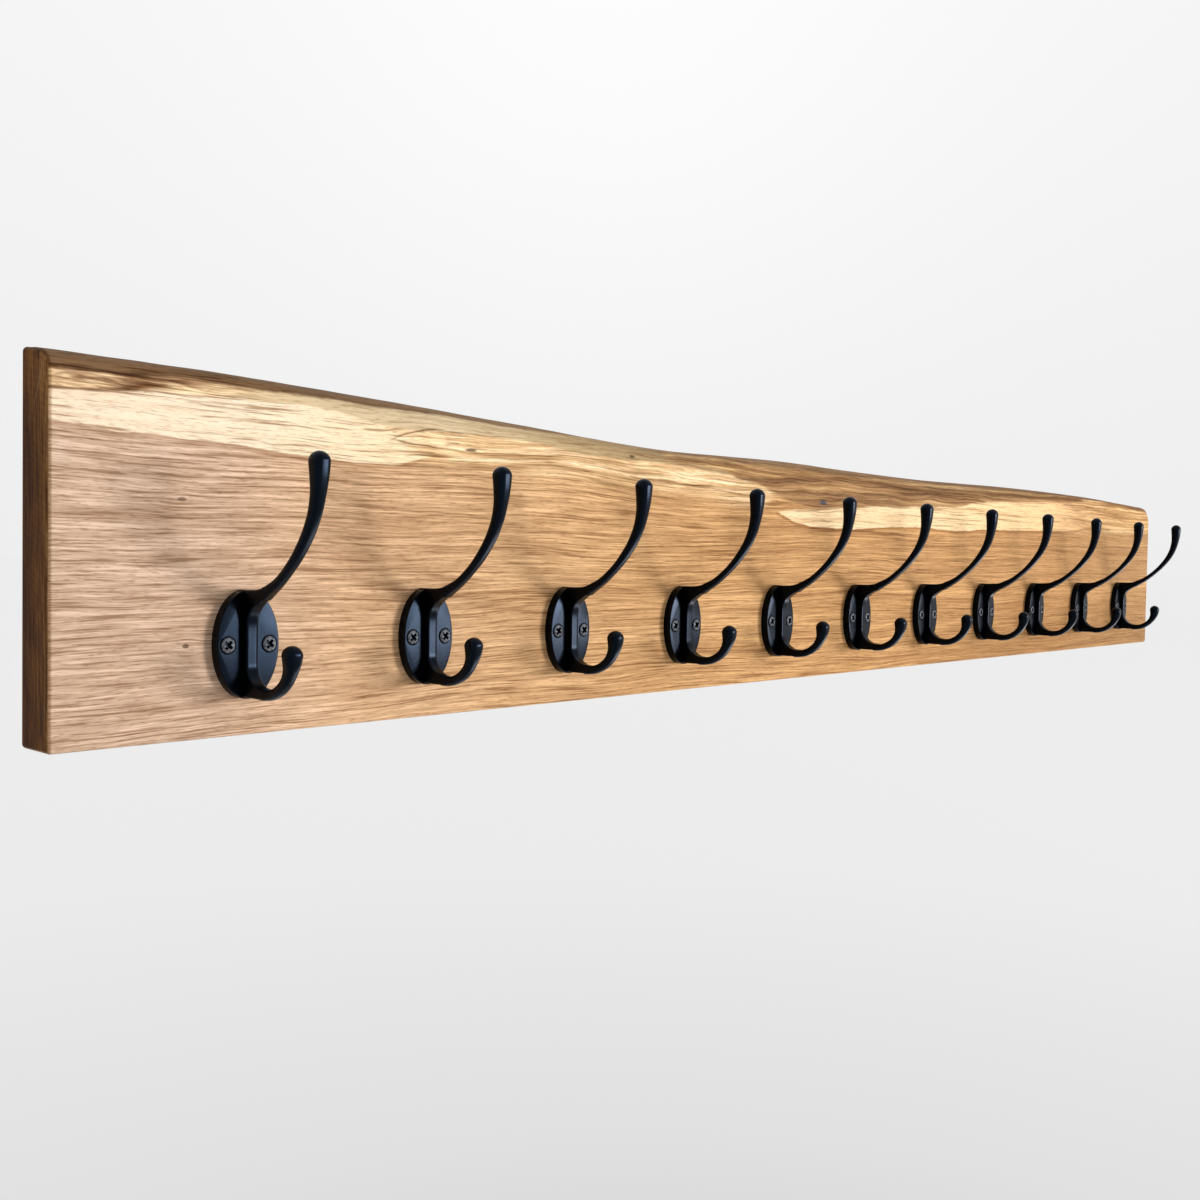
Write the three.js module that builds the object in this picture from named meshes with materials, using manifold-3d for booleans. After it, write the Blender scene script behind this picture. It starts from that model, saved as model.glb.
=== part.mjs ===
// A wall coat rack: a waney-edged oak board with a row of double hooks, and keyhole hangers in its back.
//
// Millimetres. +X runs along the board, to the right as seen from the front. +Z is up. The wall is the
// plane y = 0 and the front faces -Y. The origin is the centre of the board's back face.

import * as THREE from "three";
import { mergeVertices } from "three/addons/utils/BufferGeometryUtils.js";
import Module from "manifold-3d";

const wasm = await Module();
wasm.setup();

// Row of hooks
const hookCount = 11;
const hookPitch = 100;
const hookHeight = 40; // centre of a hook's plate above the board's bottom edge

// Board
const boardHeight = 160; // bottom edge to the highest point of the waney edge
const boardThickness = 24;
const endMargin = 85; // end of the board to the centre of the nearest hook
const arrisRadius = 1.6;
const topRightCornerRadius = 16;
const smallCornerRadius = 3;

// The waney edge, judged by eye at equal steps from the left end to the right end: how far its crest lies
// below boardHeight, and how far it falls from there to the sawn front face.
const crestDrop = [
  0.4, 0.8, 2.4, 4.7, 7.6, 10.5, 12.7, 11.9, 11.1, 12.1, 12.7, 13, 12.2, 11.2, 10.8, 11, 12, 14, 16,
];
const faceFall = [
  12.5, 9, 10.5, 13, 12, 11.5, 10, 13.5, 14, 11, 14, 18, 15.5, 13, 10, 7, 6, 5.5, 5,
];

// Hook plate and rib
const plateHalfWidth = 15;
const plateHalfHeight = 23.6;
const plateThickness = 5;
const plateEdgeRadius = 0.8;
const ribHalfWidth = 3.15; // where it leaves the plate
const ribDraft = 0.25; // share of that width lost on the way out to the arms
const ribBevel = 0.8; // rounding of the rib's corners
const ribProjection = 3.4; // beyond the plate's face
const throatHeight = 10.3; // rounding between the rib and the lower arm
const throatTop = 6; // where the rib's straight front ends, above the plate's centre
const archLift = 7.8; // pull of the curve that leads from there out to the upper arm, at its start
const archReach = 13.9; // and at its end, back along the arm
const ribTop = 23.7; // flat top of the hook, above the plate's centre
const flatTop = 9; // how far that flat reaches from the board
const ribBackGap = 0.5; // the rib starts inside the plate
const rootInset = 0.5; // the rib ends this far inside the skin of each arm
const screwEdgeLand = 0.1; // flat metal between a screw's hole and the plate's rounded edge

// Hook arms, as centre line points from the plate out to the middle of the round tip: distance from the
// board, height above the plate's centre, thickness in the plane of the hook and width across it.
const upperArm = [
  [17.5, 21.8, 6.2, 5.9],
  [21, 23.7, 5.2, 5.6],
  [28, 27.5, 3.9, 4.8],
  [36, 33.7, 3.7, 4.8],
  [42.5, 40, 4, 5],
  [48.8, 48, 4.5, 5.4],
  [53, 56, 5.2, 5.5],
  [55.2, 64, 6, 6.1],
  [56, 71, 7.3, 7.2],
  [56.1, 77.2, 8.2, 8.2],
];
const lowerArm = [
  [17.5, -20.6, 5.3, 5.9],
  [21, -20.6, 4.8, 5.6],
  [25, -19.9, 4.6, 5.2],
  [30, -17.6, 4.6, 5.2],
  [34.2, -14, 4.9, 5.3],
  [36.7, -9.8, 5.8, 5.8],
  [37.8, -6, 7.2, 7.2],
  [38, -2.6, 8, 8],
];
const rootSquareness = 4; // exponent of an arm's rounded-square section where it leaves the rib
const roundFrom = 0.3; // share of an arm's length after which its section is an ellipse

// Screws
const hookScrewHeadRadius = 3.7;
const hookScrewShankRadius = 1.9;
const hookScrewLength = 19;
const hangerScrewHeadRadius = 3;
const hangerScrewShankRadius = 1.5;
const hangerScrewLength = 13;
const headRim = 0.4; // straight edge of a countersunk head
const pointLength = 4;
const pointRadius = 0.3;
const screwSink = 0.3; // head below the face around it
const recessLength = 0.62; // cross recess across its arms, as a share of the head's diameter
const recessArm = 0.9;
const recessDepth = 1.3;
const clearance = 0.3; // between every two pieces that fit into each other

// Keyhole hangers
const hangerPositions = [-450, 0, 450]; // along the board
const hangerHeight = 113; // centre above the board's bottom edge
const hangerHalfWidth = 10;
const hangerHalfHeight = 25;
const hangerThickness = 2;
const hangerSink = 0.2; // below the board's back face
const hangerScrewOffset = 18.5; // screws above and below the hanger's centre
const keyholeEntryRadius = 4.75;
const keyholeSlotRadius = 2.4;
const keyholeEntryDrop = 5; // entry centre below the hanger's centre
const keyholeSlotRise = 8; // slot end's centre above the hanger's centre
const pocketDepth = 9; // behind the hanger, for the head of the wall screw
const pocketMargin = 2; // pocket wider than the keyhole's entry

// Faces and steps of curved shapes
const plateSides = 22;
const armSides = 8;
const screwSides = 10;
const tipRings = 2;
const ribCurve = 3;
const hangerCurve = 6;
const smallCornerSteps = 2;
const largeCornerSteps = 4;
const waneyStepsPerEntry = 1.5;
const arrisLevels = [0, 0.3, 1]; // shares of the arris radius below a face
const depthLevels = [0.12, 0.3, 0.6]; // shares of the way between the arrises
const overshoot = 1; // cutters reach this far past what they cut

// Values that follow from the sizes above
const boardLength = (hookCount - 1) * hookPitch + 2 * endMargin;
const boardBottom = -boardHeight / 2;
const frontFace = -boardThickness;
const headHoleRadius = hookScrewHeadRadius + clearance;
const screwOffset = plateHalfWidth - plateEdgeRadius - screwEdgeLand - headHoleRadius;

const oak = new THREE.MeshStandardMaterial({ color: 0xc9a06c, roughness: 0.6, metalness: 0 });
const blackCoat = new THREE.MeshStandardMaterial({ color: 0x17191d, roughness: 0.35, metalness: 0.4 });
const blackSteel = new THREE.MeshStandardMaterial({ color: 0x24262a, roughness: 0.45, metalness: 0.7 });
const zincSteel = new THREE.MeshStandardMaterial({ color: 0xb4b7bb, roughness: 0.4, metalness: 0.9 });

// Booleans

function toSolid(geometry) {
  const bare = geometry.clone();
  bare.deleteAttribute("normal");
  bare.deleteAttribute("uv");
  const merged = mergeVertices(bare, 1e-4);
  return new wasm.Manifold(
    new wasm.Mesh({
      numProp: 3,
      vertProperties: new Float32Array(merged.attributes.position.array),
      triVerts: new Uint32Array(merged.index.array),
    }),
  );
}

function toGeometry(solid) {
  const mesh = solid.getMesh();
  const geometry = new THREE.BufferGeometry();
  geometry.setAttribute("position", new THREE.BufferAttribute(mesh.vertProperties, 3));
  geometry.setIndex(new THREE.BufferAttribute(mesh.triVerts, 1));
  geometry.computeVertexNormals();
  return geometry;
}

// Closed skin over a stack of rings that have equally many points, closed by the given end faces.
function skin(rings, firstCap, lastCap) {
  const count = rings[0].length;
  const last = (rings.length - 1) * count;
  const index = [];
  for (let r = 0; r + 1 < rings.length; r++) {
    for (let i = 0; i < count; i++) {
      const a = r * count + i;
      const b = r * count + ((i + 1) % count);
      index.push(a, b, a + count, b, b + count, a + count);
    }
  }
  for (const [a, b, c] of firstCap) index.push(c, b, a);
  for (const [a, b, c] of lastCap) index.push(a + last, b + last, c + last);
  const geometry = new THREE.BufferGeometry();
  const positions = rings.flat().flatMap((point) => point.toArray());
  geometry.setAttribute("position", new THREE.Float32BufferAttribute(positions, 3));
  geometry.setIndex(index);
  return geometry;
}

// A convex ring's own triangles.
function fan(count) {
  const faces = [];
  for (let i = 1; i + 1 < count; i++) faces.push([0, i, i + 1]);
  return faces;
}

// Turned shape about the Y axis, from [radius, y] points.
function turned(profile, sides) {
  return new THREE.LatheGeometry(
    profile.map(([radius, y]) => new THREE.Vector2(radius, y)),
    sides,
  );
}

// Board

// Value of an evenly spaced list at a place along the board, on a smooth curve through its entries.
function alongBoard(values, x) {
  const step = boardLength / (values.length - 1);
  const place = THREE.MathUtils.clamp((x + boardLength / 2) / step, 0, values.length - 1);
  const i = Math.min(Math.floor(place), values.length - 2);
  const t = place - i;
  const before = values[Math.max(i - 1, 0)];
  const after = values[Math.min(i + 2, values.length - 1)];
  const slopeIn = (values[i + 1] - before) / 2;
  const slopeOut = (after - values[i]) / 2;
  const rise = values[i + 1] - values[i];
  const square = 3 * rise - 2 * slopeIn - slopeOut;
  const cube = slopeIn + slopeOut - 2 * rise;
  return values[i] + t * (slopeIn + t * (square + t * cube));
}

// Front view of the board, counter-clockwise: x, height, outward normal, and whether the point belongs to
// the waney edge, whose height changes through the thickness.
function boardOutline() {
  const points = [];
  const halfLength = boardLength / 2;
  const corner = (cx, radius, from, steps, waney) => {
    for (let k = 0; k <= steps; k++) {
      const angle = from + (k / steps) * (Math.PI / 2);
      const nx = Math.cos(angle);
      const nz = Math.sin(angle);
      points.push({ x: cx + radius * nx, drop: radius * (1 - Math.abs(nz)), nx, nz, waney });
    }
  };
  corner(-halfLength + smallCornerRadius, smallCornerRadius, Math.PI, smallCornerSteps, false);
  corner(halfLength - smallCornerRadius, smallCornerRadius, 1.5 * Math.PI, smallCornerSteps, false);
  corner(halfLength - topRightCornerRadius, topRightCornerRadius, 0, largeCornerSteps, true);
  const right = halfLength - topRightCornerRadius;
  const left = -halfLength + smallCornerRadius;
  const steps = waneyStepsPerEntry * (crestDrop.length - 1);
  for (let k = 1; k < steps; k++) {
    points.push({ x: THREE.MathUtils.lerp(right, left, k / steps), drop: 0, nx: 0, nz: 1, waney: true });
  }
  corner(left, smallCornerRadius, Math.PI / 2, smallCornerSteps, true);
  return points;
}

// The outline as it is at a depth behind the front face. The waney edge rises from the front face to its
// crest at the back on a quarter of an ellipse, and every arris is rounded.
function boardRing(outline, depth) {
  const toArris = Math.min(depth, boardThickness - depth, arrisRadius);
  const inset = arrisRadius - Math.sqrt(arrisRadius ** 2 - (arrisRadius - toArris) ** 2);
  const span = boardThickness - arrisRadius;
  const before = Math.max(0, 1 - depth / span);
  const fall = 1 - Math.sqrt(1 - before * before);
  return outline.map((point) => {
    const crest = boardHeight - alongBoard(crestDrop, point.x);
    const top = crest - fall * alongBoard(faceFall, point.x) - point.drop;
    const height = point.waney ? top : point.drop;
    return new THREE.Vector3(
      point.x - inset * point.nx,
      frontFace + depth,
      boardBottom + height - inset * point.nz,
    );
  });
}

function boardBlank() {
  const outline = boardOutline();
  const span = boardThickness - 2 * arrisRadius;
  const front = arrisLevels.map((share) => share * arrisRadius);
  const middle = depthLevels.map((share) => arrisRadius + share * span);
  const back = front.map((depth) => boardThickness - depth);
  const depths = [...front, ...middle, ...back.reverse()];
  const rings = depths.map((depth) => boardRing(outline, depth)).reverse();
  const faces = (ring) =>
    THREE.ShapeUtils.triangulateShape(
      ring.map((point) => new THREE.Vector2(point.x, point.z)),
      [],
    );
  return skin(rings, faces(rings[0]), faces(rings[rings.length - 1]));
}

// A prism that runs along +Y from a shape drawn in the x, z plane.
function prism(shape, fromY, toY) {
  const geometry = new THREE.ExtrudeGeometry(shape, {
    depth: toY - fromY,
    bevelEnabled: false,
    curveSegments: hangerCurve,
  });
  geometry.rotateX(Math.PI / 2);
  return geometry.translate(0, toY, 0);
}

function pilotHole(radius, fromY, toY) {
  return turned([[0, fromY], [radius, fromY], [radius, toY], [0, toY]], screwSides);
}

// Hanger outline, grown by a margin for the recess that it lies in.
function hangerShape(margin) {
  const radius = hangerHalfWidth + margin;
  const straight = hangerHalfHeight - hangerHalfWidth;
  const shape = new THREE.Shape();
  shape.absarc(0, straight, radius, 0, Math.PI, false);
  shape.absarc(0, -straight, radius, Math.PI, 2 * Math.PI, false);
  return shape;
}

// The pocket follows the keyhole and its entry is wide enough for the screw head all the way up.
function pocketShape() {
  const radius = keyholeEntryRadius + pocketMargin;
  const shape = new THREE.Shape();
  shape.absarc(0, keyholeSlotRise, radius, 0, Math.PI, false);
  shape.absarc(0, -keyholeEntryDrop, radius, Math.PI, 2 * Math.PI, false);
  return shape;
}

function boardGeometry() {
  let board = toSolid(boardBlank());
  const cut = (geometry, x, height) => {
    geometry.translate(x, 0, boardBottom + height);
    board = board.subtract(toSolid(geometry));
  };
  const hookHoleEnd = frontFace + hookScrewLength - plateThickness + screwSink + clearance;
  for (const x of hookPlaces()) {
    for (const side of [-1, 1]) {
      const hole = pilotHole(hookScrewShankRadius + clearance, frontFace - overshoot, hookHoleEnd);
      cut(hole, x + side * screwOffset, hookHeight);
    }
  }
  const recessFloor = -hangerSink - hangerThickness - clearance;
  const hangerHoleEnd = -hangerSink - screwSink - hangerScrewLength - clearance;
  for (const x of hangerPositions) {
    cut(prism(hangerShape(clearance), recessFloor, overshoot), x, hangerHeight);
    cut(prism(pocketShape(), recessFloor - pocketDepth, recessFloor + overshoot), x, hangerHeight);
    for (const side of [-1, 1]) {
      const hole = pilotHole(hangerScrewShankRadius + clearance, hangerHoleEnd, recessFloor + overshoot);
      cut(hole, x, hangerHeight + side * hangerScrewOffset);
    }
  }
  return toGeometry(board);
}

// Hooks: the plate's back is y = 0 and its centre the origin, and the arms reach towards -Y.

// A turned cutter for a countersunk screw whose head faces -Y at the given face.
function countersink(headRadius, shankRadius, faceY, throughY) {
  const wide = headRadius + clearance;
  const narrow = shankRadius + clearance;
  const coneStart = faceY + screwSink + headRim + clearance * Math.SQRT1_2;
  return turned(
    [[0, faceY - overshoot], [wide, faceY - overshoot], [wide, coneStart], [narrow, coneStart + wide - narrow],
      [narrow, throughY], [0, throughY]],
    screwSides,
  );
}

function plateGeometry() {
  const levels = [
    [0, 0],
    [plateThickness - plateEdgeRadius, 0],
    [plateThickness, plateEdgeRadius],
  ];
  const rings = levels.map(([out, inset]) => {
    const ring = [];
    for (let i = 0; i < plateSides; i++) {
      const angle = (2 * Math.PI * i) / plateSides;
      ring.push(
        new THREE.Vector3(
          (plateHalfWidth - inset) * Math.cos(angle),
          -out,
          (plateHalfHeight - inset) * Math.sin(angle),
        ),
      );
    }
    return ring;
  });
  return skin(rings, fan(plateSides), fan(plateSides));
}

// Where the rib meets an arm's skin at the arm's second point: above its centre line, or below it.
function armRoot(points, side) {
  const [, [out, up, thick]] = points;
  const along = rootDirection(points);
  const half = side * (thick / 2 - rootInset);
  return new THREE.Vector2(out - along.y * half, up + along.x * half);
}

// Direction of an arm's centre line at its second point, in the side view.
function rootDirection(points) {
  const [from, , to] = points;
  return new THREE.Vector2(to[0] - from[0], to[1] - from[1]).normalize();
}

// Side view of the rib and the roots of both arms, with the throat between them as two curves.
function ribShape() {
  const front = plateThickness + ribProjection;
  const [upperTop, upperUnder] = [armRoot(upperArm, 1), armRoot(upperArm, -1)];
  const [lowerTop, lowerUnder] = [armRoot(lowerArm, 1), armRoot(lowerArm, -1)];
  const along = rootDirection(upperArm);
  const archEnd = upperUnder.clone().addScaledVector(along, -archReach);
  const shoulder = upperTop.x - ((upperTop.y - ribTop) * along.x) / along.y;
  const shape = new THREE.Shape();
  shape.moveTo(ribBackGap, lowerUnder.y);
  shape.lineTo(lowerUnder.x, lowerUnder.y);
  shape.lineTo(lowerTop.x, lowerTop.y);
  shape.absellipse(
    lowerTop.x, lowerTop.y + throatHeight, lowerTop.x - front, throatHeight, 1.5 * Math.PI, Math.PI, true,
  );
  shape.lineTo(front, throatTop);
  shape.bezierCurveTo(front, throatTop + archLift, archEnd.x, archEnd.y, upperUnder.x, upperUnder.y);
  shape.lineTo(upperTop.x, upperTop.y);
  shape.quadraticCurveTo(shoulder, ribTop, flatTop, ribTop);
  shape.lineTo(ribBackGap, ribTop);
  shape.closePath();
  return shape;
}

function ribGeometry() {
  const core = ribHalfWidth - ribBevel;
  const geometry = new THREE.ExtrudeGeometry(ribShape(), {
    depth: 2 * core,
    curveSegments: ribCurve,
    bevelSegments: 1,
    bevelThickness: ribBevel,
    bevelSize: ribBevel,
    bevelOffset: -ribBevel,
  });
  // Drawn as (out, up) and extruded along the hook's width.
  const turn = new THREE.Matrix4().makeBasis(
    new THREE.Vector3(0, -1, 0),
    new THREE.Vector3(0, 0, 1),
    new THREE.Vector3(-1, 0, 0),
  );
  geometry.translate(0, 0, -core).applyMatrix4(turn);
  const place = geometry.getAttribute("position");
  for (let i = 0; i < place.count; i++) {
    const beyond = -place.getY(i) - plateThickness;
    const narrowing = ribDraft * THREE.MathUtils.clamp(beyond / (upperArm[1][0] - plateThickness), 0, 1);
    place.setX(i, place.getX(i) * (1 - narrowing));
  }
  return geometry;
}

// A tapering bar along an arm's centre line. Its section goes from a rounded square to an ellipse, and it
// ends in half a ball.
function armGeometry(points) {
  const path = new THREE.CatmullRomCurve3(points.map(([out, up]) => new THREE.Vector3(0, -out, up)));
  const size = new THREE.CatmullRomCurve3(points.map(([, , thick, wide]) => new THREE.Vector3(thick, wide, 0)));
  const across = new THREE.Vector3(1, 0, 0);
  const ring = (centre, along, thick, wide, squareness) => {
    const inPlane = new THREE.Vector3().crossVectors(along, across);
    const bulge = (value) => Math.sign(value) * Math.abs(value) ** (2 / squareness);
    const around = [];
    for (let i = 0; i < armSides; i++) {
      const angle = (2 * Math.PI * i) / armSides;
      around.push(
        centre
          .clone()
          .addScaledVector(across, (wide / 2) * bulge(Math.cos(angle)))
          .addScaledVector(inPlane, (thick / 2) * bulge(Math.sin(angle))),
      );
    }
    return around;
  };
  const rings = [];
  const steps = points.length - 1;
  for (let k = 0; k <= steps; k++) {
    const t = k / steps;
    const { x: thick, y: wide } = size.getPoint(t);
    const squareness = THREE.MathUtils.lerp(rootSquareness, 2, Math.min(t / roundFrom, 1));
    rings.push(ring(path.getPoint(t), path.getTangent(t), thick, wide, squareness));
  }
  const end = path.getPoint(1);
  const along = path.getTangent(1);
  const ball = size.getPoint(1).x;
  for (let k = 1; k <= tipRings; k++) {
    const angle = (k * Math.PI) / (2 * tipRings + 1);
    const centre = end.clone().addScaledVector(along, (ball / 2) * Math.sin(angle));
    rings.push(ring(centre, along, ball * Math.cos(angle), ball * Math.cos(angle), 2));
  }
  return skin(rings, fan(armSides), fan(armSides));
}

function hookGeometry() {
  let hook = toSolid(plateGeometry())
    .add(toSolid(ribGeometry()))
    .add(toSolid(armGeometry(upperArm)))
    .add(toSolid(armGeometry(lowerArm)));
  for (const side of [-1, 1]) {
    const hole = countersink(hookScrewHeadRadius, hookScrewShankRadius, -plateThickness, overshoot);
    hook = hook.subtract(toSolid(hole.translate(side * screwOffset, 0, 0)));
  }
  return toGeometry(hook);
}

// Screws: the head's face is y = 0, facing -Y, and the shank runs along +Y.
function screwGeometry(headRadius, shankRadius, length) {
  const neck = headRim + headRadius - shankRadius;
  let screw = toSolid(
    turned(
      [[0, 0], [headRadius, 0], [headRadius, headRim], [shankRadius, neck],
        [shankRadius, length - pointLength], [pointRadius, length], [0, length]],
      screwSides,
    ),
  );
  const reach = headRadius * 2 * recessLength;
  for (const [wide, high] of [[reach, recessArm], [recessArm, reach]]) {
    const slot = new THREE.BoxGeometry(wide, 2 * recessDepth, high);
    screw = screw.subtract(toSolid(slot));
  }
  return toGeometry(screw);
}

// Hangers: the outer face is y = 0, facing +Y towards the wall.
function hangerGeometry() {
  const shape = hangerShape(0);
  let hanger = toSolid(prism(shape, -hangerThickness, 0));
  const keyhole = new THREE.Shape();
  const join = Math.asin(keyholeSlotRadius / keyholeEntryRadius);
  keyhole.absarc(0, keyholeSlotRise, keyholeSlotRadius, 0, Math.PI, false);
  keyhole.absarc(0, -keyholeEntryDrop, keyholeEntryRadius, Math.PI / 2 + join, 2.5 * Math.PI - join, false);
  hanger = hanger.subtract(toSolid(prism(keyhole, -hangerThickness - overshoot, overshoot)));
  for (const side of [-1, 1]) {
    const hole = countersink(hangerScrewHeadRadius, hangerScrewShankRadius, 0, hangerThickness + overshoot);
    hole.rotateX(Math.PI).translate(0, 0, side * hangerScrewOffset);
    hanger = hanger.subtract(toSolid(hole));
  }
  return toGeometry(hanger);
}

// Assembly

function hookPlaces() {
  const places = [];
  for (let i = 0; i < hookCount; i++) places.push((i - (hookCount - 1) / 2) * hookPitch);
  return places;
}

function named(name, geometry, material) {
  const mesh = new THREE.Mesh(geometry, material);
  mesh.name = name;
  return mesh;
}

const rack = new THREE.Group();
rack.add(named("board", boardGeometry(), oak));

const hook = hookGeometry();
const hookScrew = screwGeometry(hookScrewHeadRadius, hookScrewShankRadius, hookScrewLength);
hookPlaces().forEach((x, i) => {
  const station = new THREE.Group();
  station.position.set(x, frontFace, boardBottom + hookHeight);
  const number = String(i + 1).padStart(2, "0");
  station.add(named(`hook_${number}`, hook, blackCoat));
  for (const [side, word] of [[-1, "left"], [1, "right"]]) {
    const screw = named(`hook_${number}_${word}_screw`, hookScrew, blackSteel);
    screw.position.set(side * screwOffset, screwSink - plateThickness, 0);
    station.add(screw);
  }
  rack.add(station);
});

const hanger = hangerGeometry();
const hangerScrew = screwGeometry(hangerScrewHeadRadius, hangerScrewShankRadius, hangerScrewLength);
hangerPositions.forEach((x, i) => {
  const station = new THREE.Group();
  station.position.set(x, -hangerSink, boardBottom + hangerHeight);
  station.add(named(`hanger_${i + 1}`, hanger, zincSteel));
  for (const [side, word] of [[-1, "lower"], [1, "upper"]]) {
    const screw = named(`hanger_${i + 1}_${word}_screw`, hangerScrew, zincSteel);
    screw.rotation.x = Math.PI;
    screw.position.set(0, -screwSink, side * hangerScrewOffset);
    station.add(screw);
  }
  rack.add(station);
});

export default rack;
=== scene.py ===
# The looks of a wall coat rack: a waney-edged oak board with black double hooks, and keyhole hangers behind.
#
# Metres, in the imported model's frame: +X runs along the board, to the right as seen from the front, +Z is up,
# the wall is the plane y = 0 and the front faces -Y. Lengths are written in millimetres times MM.

import math
import random

import bmesh
import bpy
from mathutils import Matrix, Vector, noise


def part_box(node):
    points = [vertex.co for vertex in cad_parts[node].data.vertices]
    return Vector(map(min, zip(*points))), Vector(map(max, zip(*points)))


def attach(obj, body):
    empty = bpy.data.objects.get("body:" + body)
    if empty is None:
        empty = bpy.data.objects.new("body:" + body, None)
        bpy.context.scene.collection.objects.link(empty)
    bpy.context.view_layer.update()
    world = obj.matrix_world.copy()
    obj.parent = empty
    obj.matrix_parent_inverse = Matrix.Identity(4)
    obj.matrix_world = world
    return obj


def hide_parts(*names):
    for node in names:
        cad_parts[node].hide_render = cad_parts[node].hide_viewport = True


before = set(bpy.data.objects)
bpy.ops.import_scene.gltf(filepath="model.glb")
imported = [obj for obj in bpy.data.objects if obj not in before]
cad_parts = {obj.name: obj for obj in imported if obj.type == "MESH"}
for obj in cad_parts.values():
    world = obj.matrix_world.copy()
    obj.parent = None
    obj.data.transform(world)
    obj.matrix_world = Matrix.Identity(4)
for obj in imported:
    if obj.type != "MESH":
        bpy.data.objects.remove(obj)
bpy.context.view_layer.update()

MM = 0.001
BODY = "root"

# Board, as the frame has it
BOARD_LOW, BOARD_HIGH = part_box("board")
BOARD_FRONT = BOARD_LOW.y
BOARD_THICKNESS = BOARD_HIGH.y - BOARD_LOW.y
BOARD_BOTTOM = BOARD_LOW.z
HALF_LENGTH = (BOARD_HIGH.x - BOARD_LOW.x) / 2
BOARD_HEIGHT = 160 * MM
ARRIS = 1.6 * MM
SMALL_CORNER = 2 * MM
TOP_RIGHT_CORNER = 16 * MM

# The waney edge at equal steps from the left end to the right end: how far its crest lies below the
# board's height, and how far it falls from there to the sawn front face.
CREST_DROP = [
    0.42, 0.8, 2.4, 4.7, 7.6, 10.5, 12.7, 11.9, 11.1, 12.1, 12.7, 13, 12.2, 11.2, 10.8, 11, 12, 14, 16,
]
FACE_FALL = [
    12.5, 9, 10.5, 13, 12, 11.5, 10, 13.5, 14, 11, 14, 18, 15.5, 13, 10, 7, 6, 5.5, 5,
]

# The edge's section is a quarter ellipse, squarer at the left end
LEFT_SQUARENESS = 2.6
SQUARE_REACH = 120 * MM

# Dents of the natural surface, long, short and like grooves: length along the board in millimetres, number
# over its depth, seed and depth in millimetres. They fade out at both faces.
DENTS = [(70, 1.2, 3.1, 0.6), (14, 3.5, 8.7, 0.3), (45, 14, 5.3, 0.35)]
DENT_FADE = 0.7

# Hook, in millimetres, until it is scaled at the end
HOOK_HEIGHT = 40 * MM
PLATE_HALF_WIDTH = 15
PLATE_HALF_HEIGHT = 23.6
PLATE_THICKNESS = 5
PLATE_EDGE = 0.4
RIB_HALF_WIDTH = 3.15
RIB_DRAFT = 0.1
RIB_LEFT_ROUND = 0.5
RIB_RIGHT_ROUND = 1.9
RIB_PROJECTION = 3.4
THROAT_HEIGHT = 10.3
THROAT_TOP = 6
ARCH_LIFT = 7.8
ARCH_REACH = 13.9
RIB_TOP = 23.7
FLAT_TOP = 9
RIB_BACK_GAP = 0.5

# Arms, point by point from the rib to the tip: out, up, thickness and width
UPPER_ARM = [
    (17.5, 21.8, 5.4, 5.9), (21, 23.7, 4.8, 5.6), (28, 27.5, 3.9, 4.9), (36, 33.7, 3.7, 4.9),
    (42.5, 40, 4, 5.1), (48.8, 48, 4.5, 5.4), (53, 56, 5.2, 5.6), (55.2, 64, 6, 6.2), (55.95, 71, 7.3, 7.4),
    (56, 77.2, 8.3, 8.3),
]
LOWER_ARM = [
    (17.5, -20.6, 5.3, 5.9), (21, -20.6, 4.8, 5.6), (25, -19.9, 4.6, 5.2), (30, -17.6, 4.6, 5.2),
    (34.2, -14, 4.9, 5.3), (36.7, -9.8, 5.8, 5.9), (37.8, -6, 7.2, 7.3), (38, -2.6, 8.1, 8.1),
]
ROOT_SQUARENESS = 4
ARM_SQUARENESS = 2.9
SQUARE_UNTIL = 0.3
ROOT_INSET = 0.3
ROOT_ROUND = 0.8

# How rib and arms are melted together: the size of the remeshed cells, and rounds of smoothing in and out
HOOK_VOXEL = 0.34
RELAX_ROUNDS = 4
RELAX_IN = 0.5
RELAX_OUT = -0.53

# Screws, in millimetres: head radius, shank radius and length
HOOK_SCREW = (3.7, 1.9, 19)
HANGER_SCREW = (3, 1.5, 13)
CLEARANCE = 0.3
SCREW_OFFSET = 10.1
SCREW_SINK = 0.3
HEAD_RIM = 0.4
RIM_DROP = 0.06
THREAD_PITCH = 1.6
THREAD_DEPTH = 0.3
THREAD_SHARPNESS = 5
THREAD_FADE = 3
SMOOTH_NECK = 2.5
POINT_LENGTH = 4
POINT_SHARE = 0.12
HOLE_SIDES = 20
COUNTERSINK_SIDES = 64

# The raised crown of a head: its height, how far it stays inside the rim, the share of its height that is a
# wall, the least height of its dome, the points and the power of the dome's curve, and the rounding between
# dome and wall
HOOK_SCREW_CROWN = 1.05
HANGER_SCREW_CROWN = 0.15
CROWN_INSET = 0.25
WALL_SHARE = 0.6
LEAST_DOME = 0.05
DOME_SHARES = (0.3, 0.5, 0.7, 0.82, 0.92)
DOME_POWER = 4
CROWN_ROUND = (0.05, 0.08, 0.2)

# The cross recess: half length, half width and depth as shares of the head's radius, how much of length and
# width there is at its mouth and at its floor, how far above the face its cutters start, and the radii of the
# cone in its middle as shares of the head's radius, with the depth of the cone's bend
RECESS_SHARE = 0.72
RECESS_WIDTH = 0.23
RECESS_DEPTH = 0.5
RECESS_MOUTH = (1.12, 1.05)
RECESS_FLOOR = (0.42, 0.75)
RECESS_START = -2
RECESS_CONE = (0.36, 0.3, 0.1)
CONE_BEND = 0.3

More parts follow.
